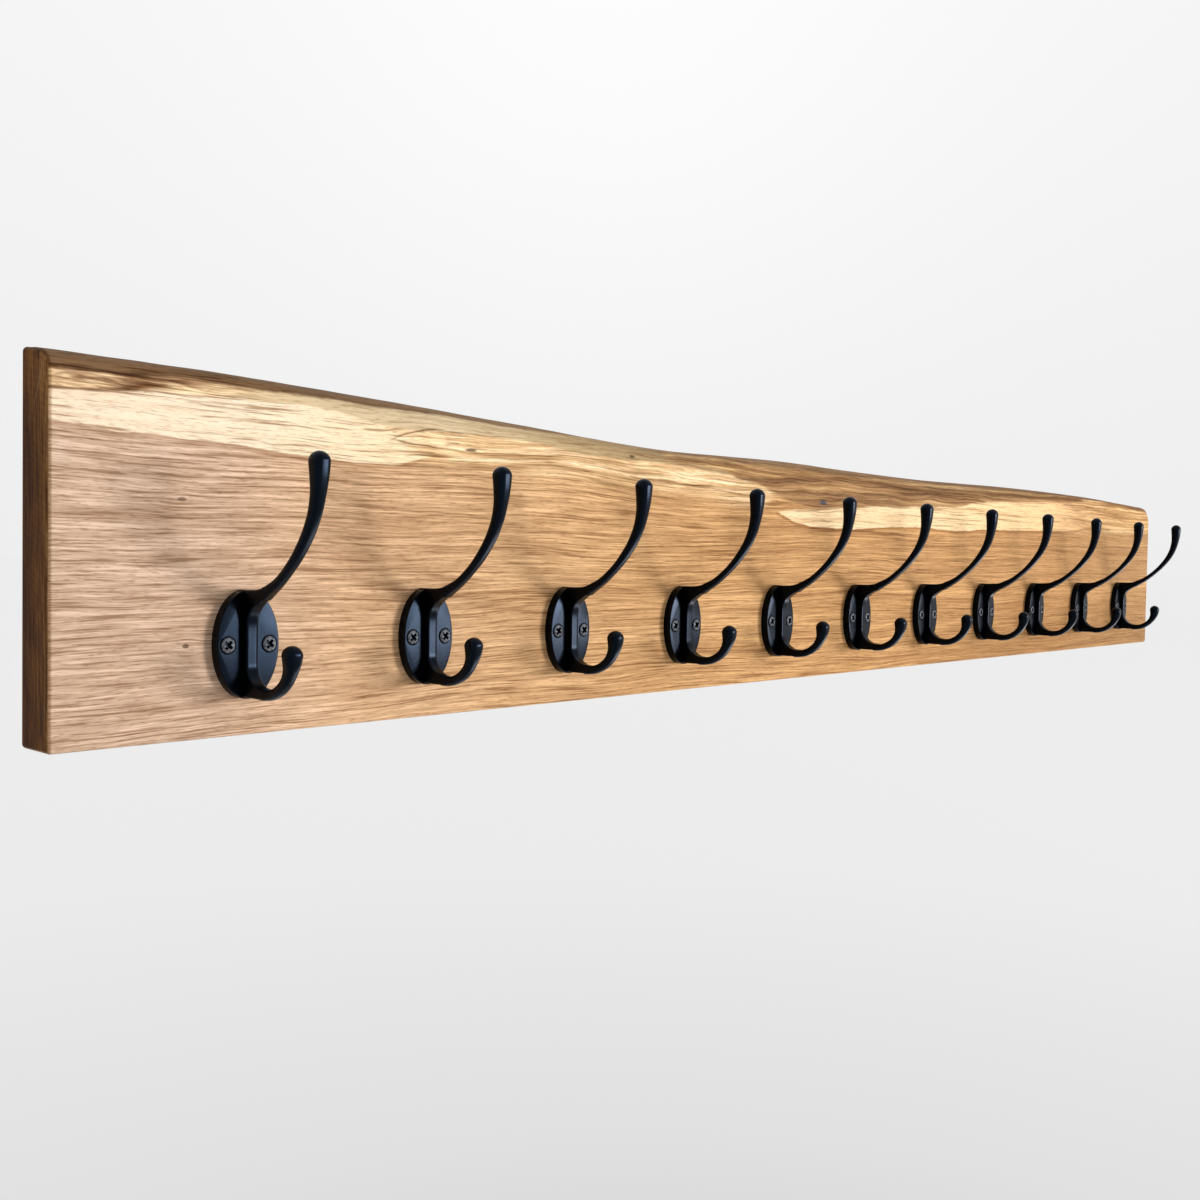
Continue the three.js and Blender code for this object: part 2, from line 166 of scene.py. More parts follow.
# Hangers, in millimetres
HANGER_HEIGHT = 113
HANGER_HALF_WIDTH = 10
HANGER_HALF_HEIGHT = 25
HANGER_THICKNESS = 2
HANGER_SINK = 0.2
HANGER_EDGE = 0.2
HANGER_SCREW_OFFSET = 18.5
KEYHOLE_ENTRY_RADIUS = 4.75
KEYHOLE_SLOT_RADIUS = 2.4
KEYHOLE_ENTRY_DROP = 5
KEYHOLE_SLOT_RISE = 8
POCKET_DEPTH = 9
POCKET_MARGIN = 2

# How far cutters reach past a face, in millimetres, and the angles in degrees from which an edge stays crisp
OVER = 1
BOARD_SHARP = 32
METAL_SHARP = 40
BEVEL_SHARP = 50

# Camera: the photograph's place and turn, for a square frame
CAMERA_PLACE = Vector((-798.8, -510.8, 0.5)) * MM
CAMERA_YAW = math.radians(47.286)
CAMERA_PITCH = math.radians(-1.953)
CAMERA_ROLL = math.radians(-0.991)
CAMERA_LENS = 38.016
SENSOR = 36

# Light, in metres: a sky level that leans to the front right, a large soft box there, aimed at hook 2, and a
# dim strip light that lies on the floor at the right
SKY_LEVEL = 0.42
SKY_LEAN = 0.2
SKY_SIDE = (0.7, -0.6, 0.4)
BOX_POWER = 1063
BOX_AIM = (-0.4, -0.06)
BOX_DISTANCE = 12
BOX_TURN = math.radians(39)
BOX_WIDTH = 3.7
BOX_BOTTOM = -1.08
BOX_TOP = 2.2
STRIP_POWER = 20
STRIP_PLACE = (1.7, -0.4)
STRIP_LENGTH = 3
STRIP_DEPTH = 0.5
STRIP_DROP = 1.06

# Background: a floor, whose tone changes with the share of the way to the horizon, darker near the spot under
# the rack as painted shade, and a backdrop with a soft glow behind the rack and a climb towards the top
FLOOR_DROP = 1.1
FLOOR_REACH = 150
FLOOR_GLOW = 0.8
FLOOR_HALFWAY = 2.0
FLOOR_SHADE_TONES = [(0.3, 0.715), (0.42, 0.818), (0.52, 0.86), (0.64, 0.915), (0.82, 0.935), (1, 0.945)]
BACKDROP_TONE = 0.855
BACKDROP_CLIMB = 0.135
GLOW_TONE = 0.07
GLOW_WAY = (0.675, 0.622, 0.397)
GLOW_NARROWNESS = 24.0


# Curves and meshes

def hermite(values, place):
    """Value of an evenly spaced list at a place counted in its steps, on a smooth curve through it."""
    place = min(max(place, 0), len(values) - 1)
    i = min(int(place), len(values) - 2)
    t = place - i
    before = values[max(i - 1, 0)]
    after = values[min(i + 2, len(values) - 1)]
    slope_in = (values[i + 1] - before) / 2
    slope_out = (after - values[i]) / 2
    rise = values[i + 1] - values[i]
    square = 3 * rise - 2 * slope_in - slope_out
    cube = slope_in + slope_out - 2 * rise
    return values[i] + t * (slope_in + t * (square + t * cube))


def bezier(handles, steps):
    """Points on the curve that runs from the first handle to the last, pulled by those between."""
    order = len(handles) - 1
    points = []
    for k in range(steps + 1):
        t = k / steps
        point = Vector((0, 0))
        for i, handle in enumerate(handles):
            point += handle * (math.comb(order, i) * (1 - t) ** (order - i) * t ** i)
        points.append(point)
    return points


def arc(x, z, radius, start, sweep, steps, tall=None):
    """Points along a stretch of a circle, or of an ellipse whose upright half is given."""
    tall = radius if tall is None else tall
    angles = [start + sweep * k / steps for k in range(steps + 1)]
    return [(x + radius * math.cos(angle), z + tall * math.sin(angle)) for angle in angles]


def ellipse(wide, tall, sides):
    return arc(0, 0, wide, 0, 2 * math.pi, sides, tall)[:-1]


def laid(outline, y):
    """An outline of (x, z) points, laid at a place along Y."""
    return [(x, y, z) for x, z in outline]


def ring_skin(rings):
    """Vertices and faces of a closed skin over a stack of rings, capped by its first and last ring."""
    count = len(rings[0])
    faces = []
    for r in range(len(rings) - 1):
        for i in range(count):
            a = r * count + i
            b = r * count + (i + 1) % count
            faces.append((a, b, b + count, a + count))
    last = (len(rings) - 1) * count
    faces.append(tuple(reversed(range(count))))
    faces.append(tuple(range(last, last + count)))
    return [tuple(point) for ring in rings for point in ring], faces


def turned(profile, sides):
    """A closed turned shape about the Y axis from (radius, y) points that start and end off the axis."""
    return ring_skin([laid(ellipse(radius, radius, sides), y) for radius, y in profile])


def prism(outline, from_y, to_y):
    """A prism along Y over an outline of (x, z) points."""
    return ring_skin([laid(outline, y) for y in (from_y, to_y)])


def moved(part, x, y, z):
    vertices, faces = part
    return [(px + x, py + y, pz + z) for px, py, pz in vertices], faces


def scaled(part, factor):
    vertices, faces = part
    return [tuple(factor * value for value in point) for point in vertices], faces


def make_mesh(name, parts):
    """One mesh from a list of (vertices, faces), with all faces pointing out."""
    builder = bmesh.new()
    for vertices, faces in parts:
        made = [builder.verts.new(point) for point in vertices]
        for face in faces:
            builder.faces.new([made[i] for i in face])
    bmesh.ops.recalc_face_normals(builder, faces=builder.faces)
    mesh = bpy.data.meshes.new(name)
    builder.to_mesh(mesh)
    builder.free()
    return mesh


def place_object(name, data):
    piece = bpy.data.objects.new(name, data)
    bpy.context.scene.collection.objects.link(piece)
    return piece


def draft(name, parts):
    return place_object(name, make_mesh(name, parts))


def apply_modifiers(piece):
    """Replaces the piece's mesh by the one that its modifiers make."""
    bpy.context.view_layer.update()
    shaped = piece.evaluated_get(bpy.context.evaluated_depsgraph_get())
    mesh = bpy.data.meshes.new_from_object(shaped)
    piece.modifiers.clear()
    piece.data = mesh


def combine(piece, parts, operation):
    """Adds closed shapes that don't overlap each other to the piece, or takes them out, with crisp edges."""
    other = draft("other", parts)
    modifier = piece.modifiers.new("combine", "BOOLEAN")
    modifier.operation = operation
    modifier.solver = "EXACT"
    modifier.object = other
    apply_modifiers(piece)
    bpy.data.objects.remove(other)


def cut(piece, parts):
    combine(piece, parts, "DIFFERENCE")


def smooth_shade(mesh, sharp_angle):
    """Smooth shading with crisp edges above an angle in degrees."""
    mesh.polygons.foreach_set("use_smooth", [True] * len(mesh.polygons))
    mesh.set_sharp_from_angle(angle=math.radians(sharp_angle))
    mesh.update()


def finished_mesh(piece):
    """The mesh of a metal piece that was drawn in millimetres, in metres and without its draft object."""
    mesh = piece.data
    bpy.data.objects.remove(piece)
    mesh.transform(Matrix.Scale(MM, 4))
    smooth_shade(mesh, METAL_SHARP)
    return mesh


# Board

def board_outline():
    """Front view, counter-clockwise: x, height lost to a corner, outward normal, and whether it is waney."""
    points = []

    def corner(centre, radius, start, steps, waney):
        for k in range(steps + 1):
            angle = start + (k / steps) * (math.pi / 2)
            nx, nz = math.cos(angle), math.sin(angle)
            points.append((centre + radius * nx, radius * (1 - abs(nz)), nx, nz, waney))

    small_steps, large_steps, waney_step = 6, 14, 2 * MM
    right = HALF_LENGTH - TOP_RIGHT_CORNER
    left = SMALL_CORNER - HALF_LENGTH
    corner(left, SMALL_CORNER, math.pi, small_steps, False)
    corner(-left, SMALL_CORNER, 1.5 * math.pi, small_steps, False)
    corner(right, TOP_RIGHT_CORNER, 0, large_steps, True)
    steps = round((right - left) / waney_step)
    for k in range(1, steps):
        points.append((right + (left - right) * k / steps, 0, 0, 1, True))
    corner(left, SMALL_CORNER, math.pi / 2, small_steps, True)
    return points


def waney_dent(x, share):
    """How far the natural surface lies below its smooth form, at a share of the board's depth."""
    dent = 0
    for length, number, seed, depth in DENTS:
        dent += depth * (0.5 + 0.5 * noise.noise(Vector((x / (length * MM), number * share, seed))))
    return math.sin(math.pi * min(max(share, 0), 1)) ** DENT_FADE * dent * MM


def board_ring(outline, depth):
    """The outline as it is at a depth behind the front face."""
    to_arris = min(depth, BOARD_THICKNESS - depth, ARRIS)
    inset = ARRIS - math.sqrt(ARRIS ** 2 - (ARRIS - to_arris) ** 2)
    share = depth / (BOARD_THICKNESS - ARRIS)
    before = max(0, 1 - share)
    steps = len(CREST_DROP) - 1
    ring = []
    for x, drop, nx, nz, waney in outline:
        height = drop
        if waney:
            place = (x + HALF_LENGTH) / (2 * HALF_LENGTH) * steps
            crest = BOARD_HEIGHT - hermite(CREST_DROP, place) * MM
            power = 2 + (LEFT_SQUARENESS - 2) * max(0, 1 - (x + HALF_LENGTH) / SQUARE_REACH)
            fall = 1 - (1 - before ** power) ** (1 / power)
            height = crest - fall * hermite(FACE_FALL, place) * MM - drop - waney_dent(x, share)
        ring.append((x - inset * nx, BOARD_FRONT + depth, BOARD_BOTTOM + height - inset * nz))
    return ring


def slot_outline(low, high, radius, steps=16):
    """An upright slot: half circles about (0, low) and (0, high)."""
    return arc(0, high, radius, 0, math.pi, steps) + arc(0, low, radius, math.pi, math.pi, steps)


def hanger_places():
    boxes = [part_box(f"hanger_{number}") for number in (1, 2, 3)]
    return [(low + high) / 2 for low, high in boxes]


def hook_places():
    names = sorted(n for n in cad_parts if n.startswith("hook_") and not n.endswith("screw"))
    return [(name, (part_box(name)[0].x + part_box(name)[1].x) / 2) for name in names]


def pilot_hole(screw, start, end):
    _, shank, _ = screw
    return turned([(shank + CLEARANCE, start), (shank + CLEARANCE, end)], HOLE_SIDES)


def board_cutters():
    """Two sets of shapes: hook pilot holes with the hanger recesses, and what lies under the recesses."""
    first, second = [], []
    front = BOARD_FRONT / MM
    bottom = BOARD_BOTTOM / MM
    _, _, length = HOOK_SCREW
    hole_end = front + length - PLATE_THICKNESS + SCREW_SINK + CLEARANCE
    hole = pilot_hole(HOOK_SCREW, front - OVER, hole_end)
    for _, x in hook_places():
        for side in (-1, 1):
            first.append(moved(hole, x / MM + side * SCREW_OFFSET, 0, bottom + HOOK_HEIGHT / MM))
    floor = -HANGER_SINK - HANGER_THICKNESS - CLEARANCE
    straight = HANGER_HALF_HEIGHT - HANGER_HALF_WIDTH
    recess = prism(slot_outline(-straight, straight, HANGER_HALF_WIDTH + CLEARANCE, steps=24), floor, OVER)
    pocket_radius = KEYHOLE_ENTRY_RADIUS + POCKET_MARGIN
    pocket_outline = slot_outline(-KEYHOLE_ENTRY_DROP, KEYHOLE_SLOT_RISE, pocket_radius)
    pocket = prism(pocket_outline, floor - POCKET_DEPTH, floor + OVER)
    _, _, length = HANGER_SCREW
    hole_end = -HANGER_SINK - SCREW_SINK - length - CLEARANCE
    hole = pilot_hole(HANGER_SCREW, hole_end, floor + OVER)
    for centre in hanger_places():
        x, z = centre.x / MM, bottom + HANGER_HEIGHT
        first.append(moved(recess, x, 0, z))
        second.append(moved(pocket, x, 0, z))
        for side in (-1, 1):
            second.append(moved(hole, x, 0, z + side * HANGER_SCREW_OFFSET))
    return [[scaled(part, MM) for part in parts] for parts in (first, second)]


def make_board():
    outline = board_outline()
    arris_shares = (0, 0.06, 0.2, 0.4, 0.65, 1)
    front = [share * ARRIS for share in arris_shares]
    back = [BOARD_THICKNESS - depth for depth in reversed(front)]
    levels = 20
    span = BOARD_THICKNESS - 2 * ARRIS
    middle = [ARRIS + span * k / levels for k in range(1, levels)]
    board = draft("oak_board", [ring_skin([board_ring(outline, depth) for depth in front + middle + back])])
    for parts in board_cutters():
        cut(board, parts)
    smooth_shade(board.data, BOARD_SHARP)
    return board


# Hook, drawn with its plate's back at y = 0 and its centre at the origin, arms towards -Y, in millimetres

def plate_part():
    sides, edge_steps = 96, 5
    rings = [laid(ellipse(PLATE_HALF_WIDTH, PLATE_HALF_HEIGHT, sides), 0)]
    for k in range(edge_steps + 1):
        angle = (math.pi / 2) * k / edge_steps
        out = PLATE_THICKNESS - PLATE_EDGE * (1 - math.sin(angle))
        inset = PLATE_EDGE * (1 - math.cos(angle))
        rings.append(laid(ellipse(PLATE_HALF_WIDTH - inset, PLATE_HALF_HEIGHT - inset, sides), -out))
    return ring_skin(rings)


def root_direction(points):
    (x0, z0, _, _), (x1, z1, _, _) = points[0], points[2]
    return Vector((x1 - x0, z1 - z0)).normalized()


def arm_root(points, side):
    """Where the rib meets an arm's skin at its second point, above (1) or below (-1) the centre line."""
    out, up, thick, _ = points[1]
    along = root_direction(points)
    half = side * (thick / 2 - ROOT_INSET)
    return Vector((out - along.y * half, up + along.x * half))


def rib_outline():
    """Side view of the rib and the roots of both arms, as (out, up) points."""
    front = PLATE_THICKNESS + RIB_PROJECTION
    upper_top, upper_under = arm_root(UPPER_ARM, 1), arm_root(UPPER_ARM, -1)
    lower_top, lower_under = arm_root(LOWER_ARM, 1), arm_root(LOWER_ARM, -1)
    along = root_direction(UPPER_ARM)
    steps, quarter = 16, -math.pi / 2
    reach, middle = lower_top.x - front, lower_top.y + THROAT_HEIGHT
    throat = arc(lower_top.x, middle, reach, quarter, quarter, steps, THROAT_HEIGHT)
    arch_start = Vector((front, THROAT_TOP))
    arch_pull = Vector((front, THROAT_TOP + ARCH_LIFT))
    arch = bezier([arch_start, arch_pull, upper_under - along * ARCH_REACH, upper_under], steps)
    bend = Vector((upper_top.x - (upper_top.y - RIB_TOP) * along.x / along.y, RIB_TOP))
    shoulder = bezier([upper_top, bend, Vector((FLAT_TOP, RIB_TOP))], steps)
    bottom_back, top_back = Vector((RIB_BACK_GAP, lower_under.y)), Vector((RIB_BACK_GAP, RIB_TOP))
    return [bottom_back, lower_under, *(Vector(point) for point in throat), *arch, *shoulder, top_back]


def rib_levels():
    """Across the rib, how far its side view draws in at plate and arms: crisp left, round right."""
    steps = 8
    levels = []
    for side, reach in ((-1, RIB_LEFT_ROUND), (1, RIB_RIGHT_ROUND)):
        for k in range(steps + 1):
            angle = (math.pi / 2) * (k if side < 0 else steps - k) / steps
            turn = 1 - math.sin(angle)
            across = side * (RIB_HALF_WIDTH - reach * (1 - math.cos(angle)))
            levels.append((across, reach * turn, ROOT_ROUND * turn))
    return levels


def rib_part():
    """The rib as a bar across X whose sides draw in on the way out."""
    outline = rib_outline()
    count = len(outline)
    inward = []
    for i in range(count):
        way = (outline[(i + 1) % count] - outline[i - 1]).normalized()
        inward.append(Vector((-way.y, way.x)))
    reach = UPPER_ARM[1][0] - PLATE_THICKNESS - RIB_PROJECTION
    rings = []
    for across, inset, root_inset in rib_levels():
        ring = []
        for point, way in zip(outline, inward):
            beyond = min(max((point.x - PLATE_THICKNESS - RIB_PROJECTION) / reach, 0), 1)
            place = point + way * (inset + (root_inset - inset) * beyond)
            ring.append((across * (1 - RIB_DRAFT * beyond), -place.x, place.y))
        rings.append(ring)
    return ring_skin(rings)


def arm_part(points):
    """A tapering bar of rounded square section along an arm's centre line, ended by half a ball."""
    sides, rings_per_point, tip_rings, nearby = 40, 6, 10, 0.01
    columns = list(zip(*points))

    def values(place):
        return [hermite(column, place) for column in columns]

    def ring(out, up, along, thick, wide, squareness):
        around = []
        for c, s in ellipse(1, 1, sides):
            across = (wide / 2) * math.copysign(abs(c) ** (2 / squareness), c)
            aside = (thick / 2) * math.copysign(abs(s) ** (2 / squareness), s)
            around.append((across, -(out - along.y * aside), up + along.x * aside))
        return around

    rings = []
    for k in range(rings_per_point * (len(points) - 1) + 1):
        place = k / rings_per_point
        out, up, thick, wide = values(place)
        ahead, behind = values(place + nearby), values(place - nearby)
        along = Vector((ahead[0] - behind[0], ahead[1] - behind[1])).normalized()
        share = min(place / (len(points) - 1) / SQUARE_UNTIL, 1)
        squareness = ROOT_SQUARENESS + (ARM_SQUARENESS - ROOT_SQUARENESS) * share
        rings.append(ring(out, up, along, thick, wide, squareness))
    radius = thick / 2
    for k in range(1, tip_rings + 1):
        angle = (math.pi / 2) * k / (tip_rings + 0.5)
        ahead = radius * math.sin(angle)
        size = 2 * radius * math.cos(angle)
        squareness = 2 + (ARM_SQUARENESS - 2) * (1 - k / tip_rings)
        rings.append(ring(out + along.x * ahead, up + along.y * ahead, along, size, size, squareness))
    return ring_skin(rings)


def countersink_part(screw, face, through):
    """Cutter for a countersunk screw whose head faces -Y at y = face."""
    head, shank, _ = screw
    wide, narrow = head + CLEARANCE, shank + CLEARANCE
    cone = face + SCREW_SINK + HEAD_RIM + CLEARANCE / math.sqrt(2)
    profile = [(wide, face - OVER), (wide, cone), (narrow, cone + wide - narrow), (narrow, through)]
    return turned(profile, COUNTERSINK_SIDES)


def make_hook_mesh():
    """Rib and arms melted into one skin and relaxed without shrinking, then set on the plate."""
    hook = draft("hook", [rib_part(), arm_part(UPPER_ARM), arm_part(LOWER_ARM)])
    melt = hook.modifiers.new("melt", "REMESH")
    melt.mode = "VOXEL"
    melt.voxel_size = HOOK_VOXEL
    for _ in range(RELAX_ROUNDS):
        for factor in (RELAX_IN, RELAX_OUT):
            relax = hook.modifiers.new("relax", "SMOOTH")
            relax.factor = factor
            relax.iterations = 1
    apply_modifiers(hook)
    combine(hook, [plate_part()], "UNION")
    hole = countersink_part(HOOK_SCREW, -PLATE_THICKNESS, OVER)
    cut(hook, [moved(hole, side * SCREW_OFFSET, 0, 0) for side in (-1, 1)])
    return finished_mesh(hook)


# Screws, drawn with the head's face at y = 0, facing -Y, and the shank along +Y, in millimetres

def head_profile(head, crown):
    """From near the axis out to the rim: a low dome with a short wall, a small step inside the rim."""
    dome = head - CROWN_INSET
    wall = min(WALL_SHARE * crown, crown - LEAST_DOME)
    inset, shallow, deep = CROWN_ROUND
    points = [(dome * share, (crown - wall) * share ** DOME_POWER - crown) for share in DOME_SHARES]
    points += [(dome - inset, shallow - wall), (dome, deep - wall), (dome, 0)]
    return points + [(head, RIM_DROP), (head, HEAD_RIM)]


def screw_body(screw, crown):
    """Countersunk head, smooth neck, and a thread that winds down to the point."""
    head, shank, length = screw
    sides, rings_per_turn = 32, 8
    neck = HEAD_RIM + head - shank
    thread_start = neck + SMOOTH_NECK
    rings = [([radius] * sides, y) for radius, y in head_profile(head, crown) + [(shank, neck)]]
    steps = round((length - thread_start) / THREAD_PITCH * rings_per_turn)
    for k in range(steps + 1):
        y = thread_start + (length - thread_start) * k / steps
        to_point = min(1, (length - y) / POINT_LENGTH)
        fade = min(1, (y - thread_start) / THREAD_PITCH) * min(1, THREAD_FADE * to_point)
        root = (shank - THREAD_DEPTH) * (POINT_SHARE + (1 - POINT_SHARE) * to_point)
        radii = []
        for i in range(sides):
            turn = (y / THREAD_PITCH - i / sides) % 1
            ridge = max(0, 1 - abs(turn - 0.5) * THREAD_SHARPNESS)
            radii.append(root + (1 - fade) * THREAD_DEPTH * to_point + fade * ridge * THREAD_DEPTH)
        rings.append((radii, y))
    around = ellipse(1, 1, sides)
    return ring_skin([[(r * c, y, r * s) for r, (c, s) in zip(radii, around)] for radii, y in rings])


def cross_blade(reach, width, depth, along_x):
    """One of the two tapering blades that cut a cross recess."""
    rings = []
    for y, (long_share, wide_share) in ((RECESS_START, RECESS_MOUTH), (depth, RECESS_FLOOR)):
        long, wide = reach * long_share, width * wide_share
        corners = [(long, -wide), (long, wide), (-long, wide), (-long, -wide)]
        rings.append(laid(corners if along_x else [(-z, x) for x, z in corners], y))
    return ring_skin(rings)


def make_screw_mesh(name, size, crown):
    screw = draft(name, [screw_body(size, crown)])
    head = size[0]
    depth = RECESS_DEPTH * head - crown
    for along_x in (True, False):
        cut(screw, [cross_blade(head * RECESS_SHARE, RECESS_WIDTH * head, depth, along_x)])
    levels = (RECESS_START, CONE_BEND - crown, depth)
    cut(screw, [turned([(share * head, y) for share, y in zip(RECESS_CONE, levels)], HOLE_SIDES)])
    return finished_mesh(screw)


# Hangers, drawn with the outer face at y = 0, facing +Y, in millimetres

def keyhole_outline():
    join = math.asin(KEYHOLE_SLOT_RADIUS / KEYHOLE_ENTRY_RADIUS)
    steps = 24
    slot = arc(0, KEYHOLE_SLOT_RISE, KEYHOLE_SLOT_RADIUS, 0, math.pi, steps)
    start, sweep = math.pi / 2 + join, 2 * math.pi - 2 * join
    return slot + arc(0, -KEYHOLE_ENTRY_DROP, KEYHOLE_ENTRY_RADIUS, start, sweep, 2 * steps)


def make_hanger_mesh():
    straight = HANGER_HALF_HEIGHT - HANGER_HALF_WIDTH
    outline = slot_outline(-straight, straight, HANGER_HALF_WIDTH, steps=32)
    hanger = draft("hanger", [prism(outline, -HANGER_THICKNESS, 0)])
    holes = [prism(keyhole_outline(), -HANGER_THICKNESS - OVER, OVER)]
    for side in (-1, 1):
        vertices, faces = countersink_part(HANGER_SCREW, 0, HANGER_THICKNESS + OVER)
        turned_over = [(x, -y, -z) for x, y, z in vertices]
        holes.append(moved((turned_over, faces), 0, 0, side * HANGER_SCREW_OFFSET))
    cut(hanger, holes)
    bevel = hanger.modifiers.new("edge", "BEVEL")
    bevel.width = HANGER_EDGE
    bevel.segments = 2
    bevel.limit_method = "ANGLE"
    bevel.angle_limit = math.radians(BEVEL_SHARP)
    apply_modifiers(hanger)
    return finished_mesh(hanger)


# Edges of the wood's colours on the front, as (x, height above the board's bottom) in millimetres
SAP_LOWER = [
    (-585, 129.7), (-573, 128.6), (-554, 127.4), (-542, 127.6), (-525, 126.3), (-509, 126.5), (-489, 124.8),
    (-478, 123.9), (-456, 123.4), (-427, 122.6), (-417, 122.7), (-410, 124.5), (-397, 128), (-370, 140),
    (585, 170),
]
GOLD_LOWER = [
    (-585, 160), (-440, 138), (-410, 125), (-397, 124.2), (-364, 125.5), (-316, 125), (-273, 121),
    (-220, 120), (-176, 119), (-128, 115), (-100, 125), (0, 140), (200, 150), (290, 130), (330, 113),
    (381, 112.5), (426, 116), (474, 115), (585, 115.8),
]
PATCH_LOWER = [
    (-585, 175), (-150, 125), (-120, 116), (-103, 113.2), (-96, 111.4), (-86, 108.6), (-77, 105.9),
    (-50, 103.8), (2, 103.8), (33, 106), (76, 107.3), (121, 107.1), (153, 106.4), (207, 108.7),
    (258, 109.6), (317, 111.1), (381, 112.5), (426, 116.5), (585, 117),
]
PATCH_UPPER = [
    (-585, 65), (-150, 95), (-122, 104), (-108, 109.5), (-97, 112.2), (-87, 113.4), (-76, 114.8),
    (-50, 115.6), (-22, 118.4), (9, 119.9), (33, 121.5), (78, 123.1), (120, 125.1), (152, 126.1),
    (185, 130.9), (220, 133.3), (257, 134.4), (316, 136.6), (379, 139.3), (415, 142.7), (585, 150),
]
TAN_LOWER = [
    (-585, 141.4), (-572, 142), (-558, 143.3), (-537, 145), (-514, 145.6), (-490, 145.8), (-467, 146.2),
    (-450, 145), (-433, 142.2), (-415, 140.6), (-371, 141.3), (-328, 140.8), (-298, 138.3), (-265, 136.9),
    (-230, 137), (-200, 136.5), (-145, 134), (-100, 140), (0, 150), (585, 170),
]
BROWN_LOWER = [
    (-585, 175), (-260, 160), (-215, 142), (-200, 136.5), (-163, 136.7), (-141, 131.6), (-121, 129.5),
    (-105, 124.7), (-83, 120), (-51, 116.9), (-22, 118.6), (9, 119.9), (33, 121.5), (93, 123.8),
    (120, 125.1), (152, 126.1), (185, 130.9), (220, 133.3), (257, 134.4), (316, 136.6), (379, 139.3),
    (415, 142.7), (585, 155),
]
SKIN_LOWER = [
    (-585, 150.6), (-560, 150.3), (-545, 150.9), (-525, 151.7), (-506, 151.3), (-481, 151.1), (-450, 150.8),
    (-437, 150.2), (-397, 150.2), (-364, 149.2), (-341, 148), (-290, 147.9), (-200, 147.6), (-100, 143.5),
    (0, 142), (100, 144), (250, 144), (336, 146), (436, 143.4), (510, 141.6), (550, 137.5), (585, 137),
]
SWIRL_LOWER = [
    (-585, 160), (-440, 150), (-400, 134), (-300, 142), (-160, 120), (-60, 112), (100, 124), (300, 130),
    (585, 132),
]

# How much longer the fibres are at the right end than at the left: 1 plus this
FIBRE_GROWTH = 2

# Knots on the front in millimetres: x, height, half length, half height and colour
KNOTS = [
    (-44, 121, 5, 2, (0.075, 0.088, 0.11)), (-246, 138.9, 2.6, 0.9, (0.1, 0.06, 0.035)),
    (-370, 133.4, 4.5, 0.9, (0.14, 0.08, 0.045)), (-529, 101.5, 2.6, 0.9, (0.17, 0.1, 0.055)),
    (-527, 40.1, 1.8, 1.1, (0.16, 0.09, 0.05)),
]

# Dark strokes along the grain: x and height of both ends, rise of the middle, half height and strength
STROKES = [
    (-528, 142.5, -509, 140.7, 0, 0.5, 0.6), (-512, 141.4, -490, 141.6, -0.3, 0.5, 0.6),
    (-558, 144.9, -532, 147.6, 0.2, 1.9, 1), (-584, 146.4, -570, 147.7, 1.3, 0.6, 0.6),
    (-566, 147.4, -553, 144.9, 0.9, 0.6, 0.65), (-592, 150.3, -550, 150.8, 0, 0.7, 0.7),
    (-556, 150.9, -521, 147.9, 0.9, 0.7, 0.75), (-420, 135, -388, 141.8, 1.8, 0.45, 1),
    (-420, 135.2, -386, 133.2, -0.6, 0.45, 1), (-387, 135.2, -377, 136.2, 0, 0.8, 0.5),
    (-385, 141.1, -375, 141.2, 0, 0.5, 0.5), (-307, 142.5, -280, 141.4, 0.4, 0.5, 0.6),
    (-292, 143.2, -274, 143, 0, 0.4, 0.5), (-250, 126.2, -190, 125.4, 0.2, 0.6, 0.5),
    (-205, 125.7, -135, 121.8, 0.4, 0.6, 0.5), (-85, 113.6, -15, 118.4, -0.6, 0.6, 0.5),
    (-146, 131.8, 0, 139.4, 0.2, 1.6, 0.6), (-20, 139.2, 100, 135.2, 0.6, 1.7, 0.6),
    (10, 128.4, 350, 142.6, 0.3, 3, 0.5), (362, 136.5, 388, 136.6, 0, 0.8, 0.55),
    (382, 131.9, 404, 131.7, 0, 0.7, 0.5), (396, 127.7, 418, 127.9, 0, 0.7, 0.5),
    (412, 136.6, 438, 136.9, 0, 0.8, 0.5), (450, 139.3, 476, 139.1, 0, 0.8, 0.5),
    (222, 118.3, 248, 118.5, 0, 0.7, 0.35), (83, 16.1, 101, 16.1, 0, 2.4, 0.4),
    (434, 26.8, 454, 26.8, 0, 2.2, 0.35), (435, 10.1, 451, 10.1, 0, 1.8, 0.3),
    (-10, 91.8, 570, 99.8, 0.6, 0.9, 0.4), (0, 81.4, 330, 84.6, -0.3, 0.8, 0.35),
    (-58, 120.2, -32, 119.8, 0.4, 0.7, 0.6),
]

# Light strokes, with the same values
GLINTS = [
    (-392, 148.8, -360, 147.2, -0.3, 0.5, 0.5), (-538, 147, -514, 146.8, 0.4, 0.9, 0.35),
    (-72, 130.3, -8, 132.3, 0.5, 0.8, 0.7), (-64, 128, -42, 128.5, 0, 0.7, 0.6),
    (-165, 137.4, -110, 141, 0.4, 1.8, 0.5), (-140, 133.3, -86, 136, 0.4, 1.2, 0.45),
]
